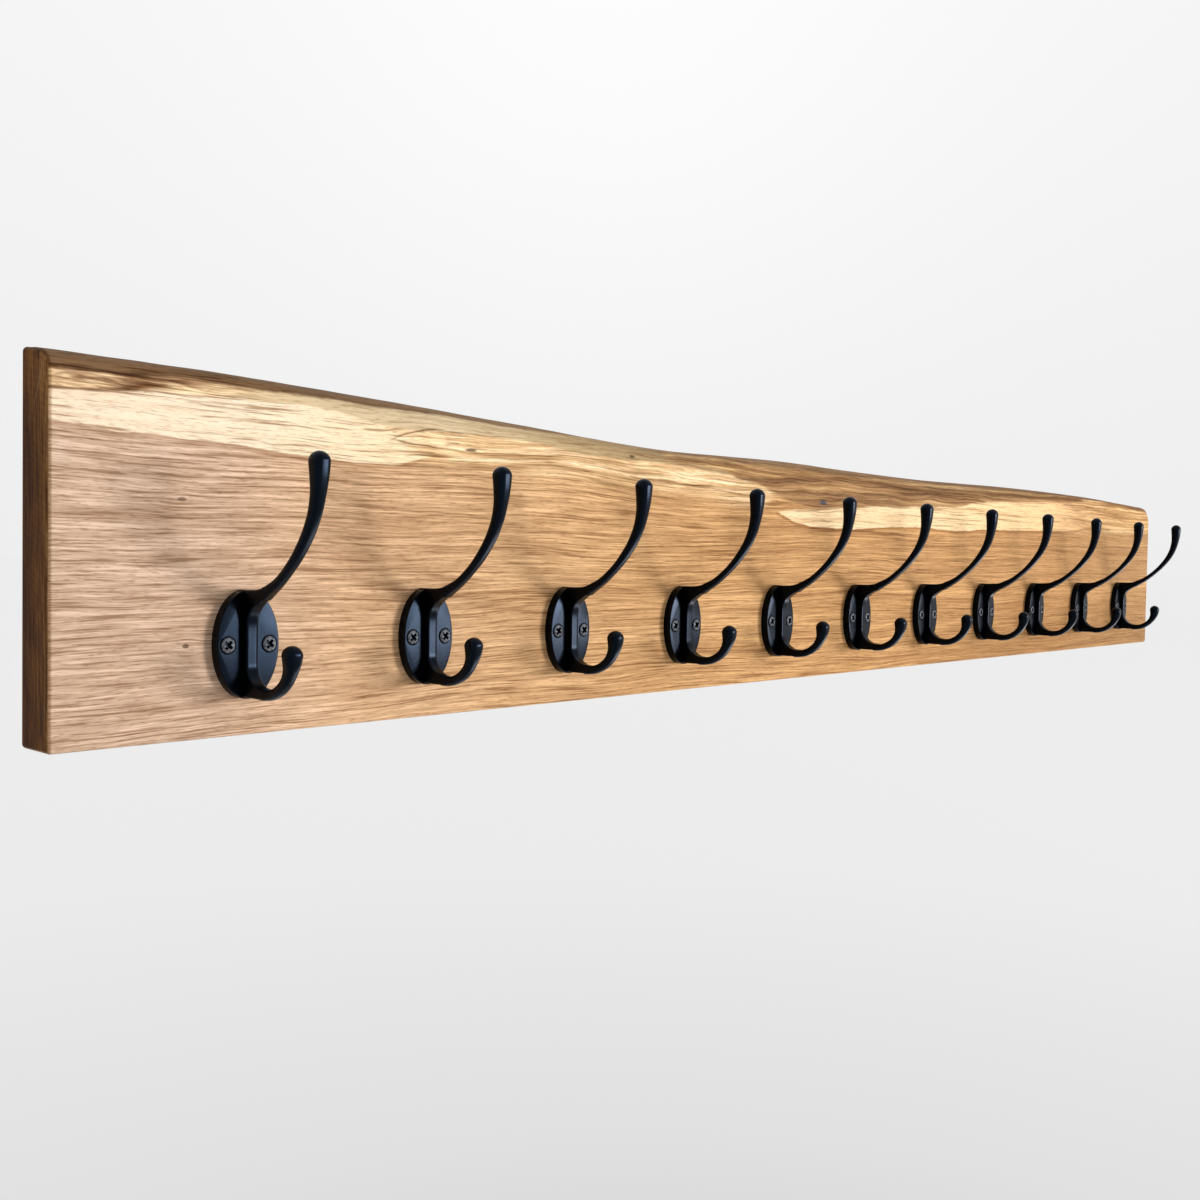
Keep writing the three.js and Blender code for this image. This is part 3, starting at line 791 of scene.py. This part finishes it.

# Colours of the wood as (place, red, green, blue): by share of the board's length, of the figure of the
# wood or, at the ends, of the depth from the front
# The heartwood's stops from 0.78 on are partly painted shade: darker to offset the floor strip's light at the
# right end.
HEARTWOOD = [
    (0, 0.6, 0.412, 0.288), (0.06, 0.6, 0.4, 0.272), (0.12, 0.63, 0.39, 0.22), (0.21, 0.605, 0.355, 0.171),
    (0.305, 0.59, 0.33, 0.142), (0.42, 0.575, 0.315, 0.128), (0.6, 0.555, 0.297, 0.119),
    (0.78, 0.49, 0.258, 0.1), (1, 0.455, 0.252, 0.106),
]
GOLD = [
    (0.34, 0.93, 0.69, 0.41), (0.45, 0.81, 0.54, 0.29), (0.54, 0.67, 0.415, 0.2), (0.66, 0.43, 0.25, 0.105),
]
CREAM = [
    (0, 0.96, 0.76, 0.565), (0.07, 0.97, 0.79, 0.575), (0.15, 0.98, 0.77, 0.49), (0.4, 0.95, 0.7, 0.41),
    (0.53, 0.98, 0.73, 0.435), (0.72, 0.98, 0.68, 0.365), (0.8, 0.94, 0.6, 0.3), (1, 0.92, 0.56, 0.27),
]
TAN = [
    (0, 0.8, 0.57, 0.33), (0.06, 0.8, 0.59, 0.34), (0.11, 0.7, 0.54, 0.335), (0.175, 0.7, 0.54, 0.335),
    (0.244, 0.53, 0.375, 0.195), (0.329, 0.4, 0.265, 0.131), (0.415, 0.35, 0.215, 0.1),
    (1, 0.36, 0.205, 0.088),
]
BARK = [(0.36, 1, 0.79, 0.5), (0.46, 0.8, 0.56, 0.32), (0.54, 0.55, 0.34, 0.185), (0.63, 0.3, 0.165, 0.08)]
BROWN = [
    (0.34, 0.63, 0.4, 0.185), (0.44, 0.48, 0.275, 0.118), (0.52, 0.37, 0.197, 0.081),
    (0.66, 0.22, 0.108, 0.042),
]
SKIN = [
    (0, 0.215, 0.12, 0.058), (0.05, 0.225, 0.125, 0.06), (0.1, 0.21, 0.118, 0.053),
    (0.2, 0.29, 0.172, 0.08), (0.3, 0.39, 0.245, 0.118), (0.45, 0.35, 0.198, 0.086),
    (0.6, 0.3, 0.157, 0.062), (0.9, 0.28, 0.145, 0.056),
]
END_GRAIN = [
    (0, 0.23, 0.103, 0.032), (0.2, 0.175, 0.071, 0.0175), (0.55, 0.12, 0.0415, 0.008),
    (1, 0.085, 0.028, 0.005),
]

# Tint of the fine lines in the waney edge's wood
FINE_LINE = (0.62, 0.52, 0.42)


# Materials

class Shader:
    """Builds the nodes of a material or a world. A value is a number, a tuple or another node's output."""

    def __init__(self, owner, output="ShaderNodeOutputMaterial", coordinates="Object"):
        self.owner = owner
        self.owner.use_nodes = True
        self.tree = owner.node_tree
        self.tree.nodes.clear()
        self.surface = self.node(output).inputs["Surface"]
        self.place = self.node("ShaderNodeTexCoord").outputs[coordinates]

    def node(self, kind, inputs=None, **settings):
        """A new node with its settings and then its inputs, by name or number."""
        made = self.tree.nodes.new(kind)
        for key, value in settings.items():
            setattr(made, key, value)
        for key, value in (inputs or {}).items():
            self.put(value, made.inputs[key])
        return made

    def put(self, value, socket):
        if isinstance(value, bpy.types.NodeSocket):
            self.tree.links.new(value, socket)
        else:
            socket.default_value = (*value, 1) if socket.type == "RGBA" else value

    def math(self, operation, *values):
        return self.node("ShaderNodeMath", dict(enumerate(values)), operation=operation).outputs[0]

    def vector_math(self, operation, *values):
        return self.node("ShaderNodeVectorMath", dict(enumerate(values)), operation=operation).outputs

    def add(self, a, b):
        return self.math("ADD", a, b)

    def times(self, a, b):
        return self.math("MULTIPLY", a, b)

    def linear(self, value, scale, offset):
        return self.math("MULTIPLY_ADD", value, scale, offset)

    def split(self, vector):
        return self.node("ShaderNodeSeparateXYZ", {0: vector}).outputs

    def noise(self, vector, size, seed=0, detail=2, roughness=0.5, distortion=0):
        """Noise with features of the given size along x, y and z. The seed moves it to another place."""
        shift = [share * seed for share in (1, 0.37, 0.71)]
        place = self.vector_math("MULTIPLY_ADD", vector, [1 / length for length in size], shift)[0]
        look = {"Scale": 1, "Detail": detail, "Roughness": roughness, "Distortion": distortion}
        return self.node("ShaderNodeTexNoise", {"Vector": place, **look}).outputs["Fac"]

    def step(self, value, low, high, to_low=0, to_high=1):
        """Smooth change from to_low to to_high as the value goes from low to high."""
        inputs = dict(enumerate((value, low, high, to_low, to_high)))
        return self.node("ShaderNodeMapRange", inputs, interpolation_type="SMOOTHSTEP").outputs[0]

    def mix(self, factor, a, b, blend="MIX"):
        """Two colours mixed. The node's sockets for colours are 6 and 7, and 2 of its outputs."""
        settings = {"data_type": "RGBA", "blend_type": blend}
        return self.node("ShaderNodeMix", {0: factor, 6: a, 7: b}, **settings).outputs[2]

    def tint(self, colour, mask, tint):
        """The colour times a tint where the mask is 1."""
        return self.mix(mask, colour, self.mix(1, colour, tint, "MULTIPLY"))

    def shade(self, colour, value, low, high, strength, tint):
        """The colour tinted more and more as the value goes from low to high."""
        return self.tint(colour, self.step(value, low, high, 0, strength), tint)

    def ramp(self, value, stops):
        """A colour that changes along (place, red, green, blue) stops."""
        made = self.node("ShaderNodeValToRGB", {0: value})
        elements = made.color_ramp.elements
        while len(elements) < len(stops):
            elements.new(1)
        for element, (place, *colour) in zip(elements, stops):
            element.position = place
            element.color = (*colour, 1)
        return made.outputs[0]

    def curve(self, value, points):
        """A number that follows (place, value) points, both from 0 to 1, as a smooth curve."""
        made = self.node("ShaderNodeFloatCurve", {"Value": value})
        line = made.mapping.curves[0]
        while len(line.points) < len(points):
            line.points.new(0.5, 0.5)
        for point, place in zip(line.points, points):
            point.location = place
        made.mapping.update()
        return made.outputs[0]

    def bump(self, height, strength, distance):
        inputs = {"Strength": strength, "Distance": distance, "Height": height}
        return self.node("ShaderNodeBump", inputs).outputs[0]

    def finish(self, **inputs):
        """A Principled surface with the given inputs, named with underscores for spaces."""
        inputs = {key.replace("_", " "): value for key, value in inputs.items()}
        self.put(self.node("ShaderNodeBsdfPrincipled", inputs).outputs[0], self.surface)
        return self.owner

    def seen_directly(self):
        """1 for rays that show the background itself: from the camera, mirrored or passed by the object."""
        path = self.node("ShaderNodeLightPath").outputs
        mirrored = self.math("MAXIMUM", path["Is Glossy Ray"], path["Is Transmission Ray"])
        return self.math("MAXIMUM", path["Is Camera Ray"], mirrored)

    def show(self, lit, seen, share):
        """A surface that is partly the lit shader and partly, by its share, the seen one."""
        inputs = {0: share, 1: lit.outputs[0], 2: seen.outputs[0]}
        self.put(self.node("ShaderNodeMixShader", inputs).outputs[0], self.surface)


class Oak(Shader):
    """The board's wood, in layers over coordinates in millimetres: x, y and height above the bottom."""

    def __init__(self):
        super().__init__(bpy.data.materials.new("oak"))
        above_bottom = (0, 0, -BOARD_BOTTOM / MM)
        self.flat = self.vector_math("MULTIPLY_ADD", self.place, [1 / MM] * 3, above_bottom)[0]
        self.x, self.y, self.height = self.split(self.flat)
        self.share = self.linear(self.x, MM / (2 * HALF_LENGTH), 0.5)
        longer = self.math("LOGARITHM", self.linear(self.share, FIBRE_GROWTH, 1), math.e)
        self.along = self.times(longer, 2 * HALF_LENGTH / MM / FIBRE_GROWTH)
        coarse = self.wave(self.flat, (26, 8, 4), 2.2, detail=3)
        jitter = self.add(coarse, self.wave(self.flat, (8, 3, 3), 1, seed=4))
        self.level = self.add(self.height, jitter)
        self.grain = self.follow_grain()

    def wave(self, vector, size, swing, seed=0, detail=2):
        """Smooth noise around zero with the given feature size and full swing."""
        return self.times(self.add(self.noise(vector, size, seed, detail), -0.5), swing)

    def bell(self, value, centre, width):
        """1 at the centre, falling to 0 about twice the width away."""
        offset = self.linear(value, 1 / width, -centre / width)
        return self.math("EXPONENT", self.times(offset, self.times(offset, -1)))

    def spot(self, x, height, length, rise):
        """A soft, ragged mask around a place on the front."""
        ragged, fine = 0.7, 0.8
        jitter = self.wave(self.flat, (fine * length, 8, fine * rise), ragged, seed=x)
        across = self.linear(self.x, 1 / length, -x / length)
        upward = self.linear(self.height, 1 / rise, -height / rise)
        reach = self.add(self.times(across, across), self.times(upward, upward))
        return self.step(self.add(reach, jitter), 1.3, 0.2)

    def stroke(self, along, level, start, start_level, end, end_level, rise, width):
        """A thin curved line that tapers at both ends, along one coordinate and across another."""
        half = (end - start) / 2
        place = self.linear(along, 1 / half, -(start + end) / (2 * half))
        square = self.times(place, place)
        line = self.linear(place, (end_level - start_level) / 2, (start_level + end_level) / 2 + rise)
        line = self.linear(square, -rise, line)
        across = self.times(self.math("SUBTRACT", level, line), 1 / width)
        reach = self.linear(across, across, self.times(square, square))
        return self.math("EXPONENT", self.times(reach, -1))

    def line(self, points):
        """Height in millimetres along given (x, height) points of the front."""
        low, high, half = 60, 180, HALF_LENGTH / MM
        line = [((px + half) / (2 * half), (pz - low) / (high - low)) for px, pz in points]
        return self.linear(self.curve(self.share, line), high - low, low)

    def above(self, points, soft, level=None):
        """1 above a line of points, 0 below it, over a soft step in millimetres."""
        difference = self.math("SUBTRACT", level or self.level, self.line(points))
        return self.step(difference, -soft / 2, soft / 2)

    def follow_grain(self):
        """Coordinates along the grain: it wanders, parts around knots and has longer fibres at the right."""
        drift = self.wave(self.flat, (260, 60, 60), 15)
        for size, swing, seed in (((70, 14, 14), 3, 5), ((16, 4, 4), 0.7, 9)):
            drift = self.add(drift, self.wave(self.flat, size, swing, seed))
        swirl = self.times(self.wave(self.flat, (60, 14, 12), 6, seed=14), self.above(SWIRL_LOWER, 14))
        drift = self.add(drift, swirl)
        reach, breadth, push = 3, 4, -1.4
        for x, height, length, rise, _ in KNOTS:
            upward = self.linear(self.height, 1 / (breadth * rise), -height / (breadth * rise))
            spread = self.times(self.bell(self.x, x, reach * length), self.bell(upward, 0, 1))
            drift = self.add(drift, self.times(self.times(upward, spread), push * rise))
        parts = {0: self.along, 1: self.y, 2: self.add(self.height, drift)}
        return self.node("ShaderNodeCombineXYZ", parts).outputs[0]

    def heartwood(self):
        """Pinkish tan at the left end, golden to the right, in broad bands."""
        # The ramp's right end is partly painted shade, darker against the floor strip's light there.
        wood = self.ramp(self.share, HEARTWOOD)
        broad = self.noise(self.grain, (190, 22, 11), seed=2, detail=3)
        wood = self.shade(wood, broad, 0.5, 0.68, 0.6, (0.78, 0.72, 0.66))
        wood = self.shade(wood, broad, 0.48, 0.3, 0.7, (1.18, 1.22, 1.28))
        low = self.times(self.step(self.height, 48, 10), self.step(self.x, -60, 300))
        wood = self.tint(wood, low, (0.76, 0.73, 0.67))
        cloud = self.noise(self.flat, (55, 30, 24), seed=11)
        return self.shade(wood, cloud, 0.5, 0.72, 0.4, (0.86, 0.82, 0.77))

    def add_gold(self, wood):
        """Streaky golden wood under the waney edge, right of the cream band and at the right end."""
        level = self.add(self.level, self.wave(self.grain, (60, 12, 5), 7, seed=3, detail=3))
        gold = self.ramp(self.noise(self.grain, (40, 8, 2.8), seed=6, detail=3, roughness=0.55), GOLD)
        gold = self.shade(gold, self.x, 390, 460, 1, (1.27, 1.38, 1.42))
        return self.mix(self.above(GOLD_LOWER, 9, level), wood, gold)

    def add_sapwood(self, wood):
        """A cream band at the left and a pale patch to the right, each with a brown line under it."""
        ragged = self.wave(self.grain, (40, 8, 4), 110, seed=17, detail=3)
        leaning = self.add(self.add(self.x, self.level), self.times(ragged, 0.4))
        band = self.times(self.above(SAP_LOWER, 0.8), self.step(leaning, -285, -262, 1, 0))
        upper = self.math("SUBTRACT", 1, self.above(PATCH_UPPER, 2))
        patch_end = self.step(self.add(self.x, ragged), 330, 430, 1, 0)
        patch = self.times(self.times(self.above(PATCH_LOWER, 1.1), upper), patch_end)
        self.sap = self.math("MAXIMUM", band, patch)
        under = self.add(self.level, 1.8)
        band_edge = self.times(self.above(SAP_LOWER, 2.4, under), self.step(self.x, -430, -400, 0.5, 0))
        patch_edge = self.times(self.above(PATCH_LOWER, 2.4, under), self.step(self.x, -170, -120))
        edge = self.math("MAXIMUM", band_edge, self.times(patch_edge, upper))
        wood = self.tint(wood, edge, (0.68, 0.57, 0.46))
        figure = self.noise(self.grain, (90, 14, 6), seed=2, detail=3)
        cream = self.shade(self.ramp(self.share, CREAM), figure, 0.5, 0.68, 0.5, (0.9, 0.8, 0.68))
        return self.mix(self.sap, wood, cream)

    def add_waney(self, wood):
        """The natural edge: an olive tan layer, brown wood to the right, and thin dark skin on the crest."""
        figure = self.noise(self.grain, (46, 8, 3), seed=12, detail=4, roughness=0.6, distortion=0.3)
        lines = self.step(self.math("ABSOLUTE", self.add(figure, -0.5)), 0.028, 0.006)
        wood = self.add_tan(wood, figure, lines)
        wood = self.add_brown(wood, lines)
        return self.add_skin(wood, figure)

    def add_tan(self, wood, figure, lines):
        tan = self.shade(self.ramp(self.share, TAN), figure, 0.52, 0.68, 0.35, (0.74, 0.66, 0.56))
        tan = self.tint(tan, self.times(lines, 0.2), FINE_LINE)
        bark = self.ramp(self.noise(self.grain, (22, 6, 1.7), seed=45, detail=3, roughness=0.55), BARK)
        tan = self.mix(self.step(self.x, -480, -530), tan, bark)
        layer = self.above(TAN_LOWER, 1.2)
        between = self.times(self.step(self.x, -510, -470), self.step(self.x, -220, -260))
        self.calm = self.times(layer, between)
        return self.mix(layer, wood, tan)

    def add_brown(self, wood, lines):
        level = self.add(self.level, self.wave(self.grain, (40, 10, 4), 4, seed=23, detail=3))
        brown = self.ramp(self.noise(self.grain, (62, 8, 2.8), seed=31, detail=4, roughness=0.6), BROWN)
        brown = self.tint(brown, self.times(lines, 0.4), FINE_LINE)
        brown = self.shade(brown, self.x, 180, 330, 1, (0.86, 0.8, 0.74))
        weight = self.times(self.above(BROWN_LOWER, 3, level), self.step(self.x, -230, -120, 0.7, 1))
        return self.mix(weight, wood, brown)

    def add_skin(self, wood, figure):
        skin = self.shade(self.ramp(self.share, SKIN), figure, 0.48, 0.66, 0.6, (0.58, 0.52, 0.47))
        wood = self.mix(self.above(SKIN_LOWER, 1.2), wood, skin)
        rim = self.bell(self.math("SUBTRACT", self.level, self.line(SKIN_LOWER)), 0, 0.7)
        return self.tint(wood, self.times(rim, self.step(self.x, -330, -420, 0, 0.7)), (0.42, 0.33, 0.27))

    def add_marks(self, wood):
        """Knots, with dark and light strokes along the grain."""
        for x, height, length, rise, colour in KNOTS:
            wood = self.mix(self.times(self.spot(x, height, length, rise), 0.9), wood, colour)
        for strokes, tint in ((GLINTS, (1.5, 1.55, 1.5)), (STROKES, (0.32, 0.22, 0.15))):
            for *shape, strength in strokes:
                mask = self.stroke(self.x, self.level, *shape)
                wood = self.tint(wood, self.times(mask, strength), tint)
        return wood

    def add_fibres(self, wood):
        """Thin dark and light fibre lines over everything, few light ones in cream wood, and fine pores."""
        dash = self.wave(self.grain, (20, 1.2, 0.74), 1.02, seed=7, detail=1.5)
        streak = self.wave(self.grain, (60, 3, 1.6), 0.5)
        long = self.wave(self.grain, (130, 8, 2.4), 0.45, seed=3)
        fibre = self.add(dash, self.add(streak, long))
        pores = self.noise(self.grain, (4.5, 0.5, 0.42), seed=17, detail=1)
        still = self.times(self.step(self.calm, 0, 1, 1, 0.55), self.step(self.x, 0, 500, 1, 0.7))
        dark = self.times(self.step(fibre, 0.02, 0.22), self.step(self.sap, 0, 1, 0.84, 1))
        light = self.times(self.step(fibre, -0.01, -0.22), self.step(self.sap, 0, 1, 0.8, 0.1))
        wood = self.tint(wood, self.times(dark, still), (0.5, 0.41, 0.33))
        wood = self.tint(wood, self.times(light, still), (1.45, 1.55, 1.68))
        self.relief = self.add(self.times(pores, -0.5), self.times(fibre, -1.2))
        self.open_pores = self.step(pores, 0.55, 0.68)
        return self.tint(wood, self.times(self.open_pores, 0.6), (0.62, 0.52, 0.44))

    def add_ends(self, wood):
        """Sawn ends: dark, lighter towards the front, with year rings, streaks, a pale ray and a void whose
        hollow is painted shade.
        """
        depth = self.add(self.y, BOARD_THICKNESS / MM)
        end = self.ramp(self.times(depth, MM / BOARD_THICKNESS), END_GRAIN)
        pith_depth, pith_height, ring_width = 84, -70, 3.3
        wavy = self.add(self.height, self.wave(self.flat, (40, 12, 12), 3, seed=8))
        inward, upward = self.add(depth, -pith_depth), self.add(wavy, -pith_height)
        radius = self.math("SQRT", self.add(self.times(inward, inward), self.times(upward, upward)))
        phase = self.math("FRACT", self.times(radius, 1 / ring_width))
        early = self.times(self.step(phase, 0, 0.15), self.step(phase, 0.6, 0.2))
        end = self.tint(end, self.times(early, 0.3), (1.5, 1.6, 1.7))
        streaks = self.noise(self.flat, (30, 1.1, 17), seed=20, detail=3)
        end = self.shade(end, streaks, 0.5, 0.64, 0.85, (0.42, 0.34, 0.28))
        end = self.shade(end, streaks, 0.47, 0.34, 0.7, (1.6, 1.75, 1.9))
        cloud = self.noise(self.flat, (60, 7, 22), seed=30, detail=3)
        end = self.shade(end, cloud, 0.48, 0.62, 0.6, (0.6, 0.55, 0.5))
        end = self.shade(end, self.height, 118, 156, 0.9, (1.85, 2, 2.15))
        ray = self.stroke(self.height, depth, 136, 12.4, 154, 3.2, 0, 0.35)
        end = self.mix(self.times(ray, 0.7), end, (0.42, 0.27, 0.16))
        # Painted shade: the void's hollow is a near-black stroke of colour.
        void_shade = self.stroke(self.height, depth, 153.6, 8.4, 157.4, 9.2, 0, 0.8)
        end = self.mix(void_shade, end, (0.02, 0.012, 0.008))
        from_middle, half = self.math("ABSOLUTE", self.x), HALF_LENGTH / MM
        wood = self.shade(wood, from_middle, half - 1.9, half - 1.1, 0.8, (0.66, 0.56, 0.42))
        return self.mix(self.step(from_middle, half - 0.6, half - 0.1), wood, end)


def oak_material():
    s = Oak()
    wood = s.heartwood()
    for add_layer in (s.add_gold, s.add_sapwood, s.add_waney, s.add_marks, s.add_fibres, s.add_ends):
        wood = add_layer(wood)
    return s.finish(
        Base_Color=wood,
        Roughness=s.linear(s.open_pores, 0.15, 0.56),
        Specular_IOR_Level=0.05,
        Normal=s.bump(s.relief, 0.4, 0.3 * MM),
    )


def coat_material():
    """Black satin powder coat with the faint orange peel of its baking."""
    s = Shader(bpy.data.materials.new("black_coat"))
    peel = s.noise(s.place, [1.1 * MM] * 3)
    cloud = s.noise(s.place, [12 * MM] * 3, seed=6, detail=3)
    return s.finish(
        Base_Color=s.mix(cloud, (0.0002, 0.0003, 0.0005), (0.0007, 0.0008, 0.0012)),
        Roughness=s.step(cloud, 0.3, 0.7, 0.22, 0.28),
        Specular_IOR_Level=0.135,
        Specular_Tint=(0.37, 0.59, 1),
        Normal=s.bump(peel, 0.08, 0.2 * MM),
    )


def screw_material():
    """Blackened steel, rubbed brighter on the head's face, with painted shade: near black in the cross and
    around the rim.
    """
    s = Shader(bpy.data.materials.new("black_screw_steel"))
    wear = s.noise(s.place, [1.1 * MM] * 3, detail=3, roughness=0.6)
    colour = s.mix(s.step(wear, 0.42, 0.62), (0.055, 0.058, 0.066), (0.2, 0.205, 0.22))
    # Painted shade: below the dome's face, in the cross recess and at the wall and rim, the head turns near
    # black.
    _, depth, _ = s.split(s.place)
    return s.finish(
        Base_Color=s.mix(s.step(depth, -0.8 * MM, -0.6 * MM), colour, (0.002, 0.002, 0.003)),
        Roughness=s.step(wear, 0.3, 0.7, 0.3, 0.24),
        Specular_IOR_Level=0.13,
        Specular_Tint=(0.6, 0.75, 1),
        Normal=s.bump(wear, 0.12, 0.1 * MM),
    )


def zinc_material():
    """Zinc-plated pressed steel with fine rolling marks."""
    s = Shader(bpy.data.materials.new("zinc_steel"))
    rolling = s.noise(s.place, (0.25 * MM, 2 * MM, 9 * MM))
    cloud = s.noise(s.place, [6 * MM] * 3, seed=3, detail=3)
    return s.finish(
        Base_Color=s.mix(cloud, (0.55, 0.56, 0.57), (0.7, 0.7, 0.69)),
        Metallic=1,
        Roughness=s.step(rolling, 0.3, 0.7, 0.28, 0.42),
        Normal=s.bump(rolling, 0.08, 0.1 * MM),
    )


# Stage

def make_floor():
    """A pale floor far below the rack, at about the height that such a rack hangs above it."""
    s = Shader(bpy.data.materials.new("pale_floor"))
    distance = s.vector_math("LENGTH", s.place)["Value"]
    far = s.math("DIVIDE", distance, s.add(distance, FLOOR_HALFWAY))
    # Painted shade: the floor's colour is darker near the spot under the rack and lighter towards the horizon.
    colour = s.ramp(far, [(place, tone, tone, tone) for place, tone in FLOOR_SHADE_TONES])
    lit = s.node("ShaderNodeBsdfDiffuse", {"Color": colour})
    glow = s.node("ShaderNodeEmission", {"Color": colour})
    s.show(lit, glow, s.times(s.seen_directly(), FLOOR_GLOW))
    reach = FLOOR_REACH
    corners = [(-reach, -reach, 0), (reach, -reach, 0), (reach, reach, 0), (-reach, reach, 0)]
    mesh = bpy.data.meshes.new("floor")
    mesh.from_pydata(corners, [], [(0, 1, 2, 3)])
    mesh.materials.append(s.owner)
    floor = place_object("floor", mesh)
    floor.location.z = -FLOOR_DROP


def make_world():
    """A pale backdrop, brightest behind and above the rack, and plain soft light from the front right."""
    world = bpy.data.worlds.new("studio")
    s = Shader(world, "ShaderNodeOutputWorld", "Generated")

    def toward(direction):
        return s.vector_math("DOT_PRODUCT", s.place, Vector(direction).normalized())["Value"]

    glow = s.math("EXPONENT", s.times(s.add(toward(GLOW_WAY), -1), GLOW_NARROWNESS))
    climb = s.math("MAXIMUM", toward((0, 0, 1)), 0)
    tone = s.add(BACKDROP_TONE, s.add(s.times(glow, GLOW_TONE), s.times(climb, BACKDROP_CLIMB)))
    light = s.node("ShaderNodeBackground", {"Color": s.linear(toward(SKY_SIDE), SKY_LEAN, SKY_LEVEL)})
    s.show(light, s.node("ShaderNodeBackground", {"Color": tone}), s.seen_directly())
    bpy.context.scene.world = world


def add_lamp(name, place, toward, width, height, power):
    """A plain rectangular light that shows only through what it lights."""
    data = bpy.data.lights.new(name, "AREA")
    data.shape = "RECTANGLE"
    data.size = width
    data.size_y = height
    data.energy = power
    lamp = place_object(name, data)
    lamp.visible_camera = False
    lamp.location = place
    lamp.rotation_euler = Vector(toward).to_track_quat("-Z", "Y").to_euler()


def make_lamps():
    """A large soft box that stands on the floor to the front right, and a strip lying there, facing up."""
    away = Vector((math.sin(BOX_TURN), -math.cos(BOX_TURN), 0))
    place = Vector((*BOX_AIM, (BOX_TOP + BOX_BOTTOM) / 2)) + BOX_DISTANCE * away
    add_lamp("soft_box", place, -away, BOX_WIDTH, BOX_TOP - BOX_BOTTOM, BOX_POWER)
    add_lamp("floor_strip", (*STRIP_PLACE, -STRIP_DROP), (0, 0, 1), STRIP_LENGTH, STRIP_DEPTH, STRIP_POWER)


def make_camera():
    """A camera that looks down its own -Z, turned about the upright, then tipped, then rolled."""
    data = bpy.data.cameras.new("camera")
    data.sensor_fit = "HORIZONTAL"
    data.sensor_width = SENSOR
    data.lens = CAMERA_LENS
    turn = Matrix.Rotation(-CAMERA_YAW, 4, "Z")
    tip = Matrix.Rotation(math.pi / 2 + CAMERA_PITCH, 4, "X")
    roll = Matrix.Rotation(-CAMERA_ROLL, 4, "Z")
    camera = place_object("camera", data)
    camera.matrix_world = Matrix.Translation(CAMERA_PLACE) @ turn @ tip @ roll
    bpy.context.scene.camera = camera


# Assembly

def set_piece(piece, node, material):
    """Gives a piece its material and its place in the frame."""
    if material.name not in piece.data.materials:
        piece.data.materials.append(material)
    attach(piece, BODY)
    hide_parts(node)


def add_board(oak):
    set_piece(make_board(), "board", oak)


def add_hooks(coat, steel):
    hook_mesh = make_hook_mesh()
    screw_mesh = make_screw_mesh("hook_screw", HOOK_SCREW, HOOK_SCREW_CROWN)
    turns = random.Random(4)
    for name, x in hook_places():
        centre = Vector((x, BOARD_FRONT, BOARD_BOTTOM + HOOK_HEIGHT))
        hook = place_object("coat_" + name, hook_mesh)
        hook.location = centre
        set_piece(hook, name, coat)
        for side, word in ((-1, "left"), (1, "right")):
            screw = place_object(f"coat_{name}_{word}_screw", screw_mesh)
            screw.location = centre + Vector((side * SCREW_OFFSET, SCREW_SINK - PLATE_THICKNESS, 0)) * MM
            screw.rotation_euler.y = math.radians(turns.uniform(32, 58))
            set_piece(screw, f"{name}_{word}_screw", steel)


def add_hangers(zinc):
    hanger_mesh = make_hanger_mesh()
    screw_mesh = make_screw_mesh("hanger_screw", HANGER_SCREW, HANGER_SCREW_CROWN)
    turns = random.Random(9)
    for number, centre in enumerate(hanger_places(), 1):
        outer = Vector((centre.x, -HANGER_SINK * MM, BOARD_BOTTOM + HANGER_HEIGHT * MM))
        hanger = place_object(f"keyhole_hanger_{number}", hanger_mesh)
        hanger.location = outer
        set_piece(hanger, f"hanger_{number}", zinc)
        for side, word in ((-1, "lower"), (1, "upper")):
            screw = place_object(f"keyhole_hanger_{number}_{word}_screw", screw_mesh)
            screw.location = outer + Vector((0, -SCREW_SINK, side * HANGER_SCREW_OFFSET)) * MM
            screw.rotation_euler = (math.pi, turns.uniform(0, math.pi / 2), 0)
            set_piece(screw, f"hanger_{number}_{word}_screw", zinc)


bpy.context.scene.view_settings.view_transform = "Standard"
make_camera()
make_world()
make_lamps()
make_floor()
add_board(oak_material())
add_hooks(coat_material(), screw_material())
add_hangers(zinc_material())
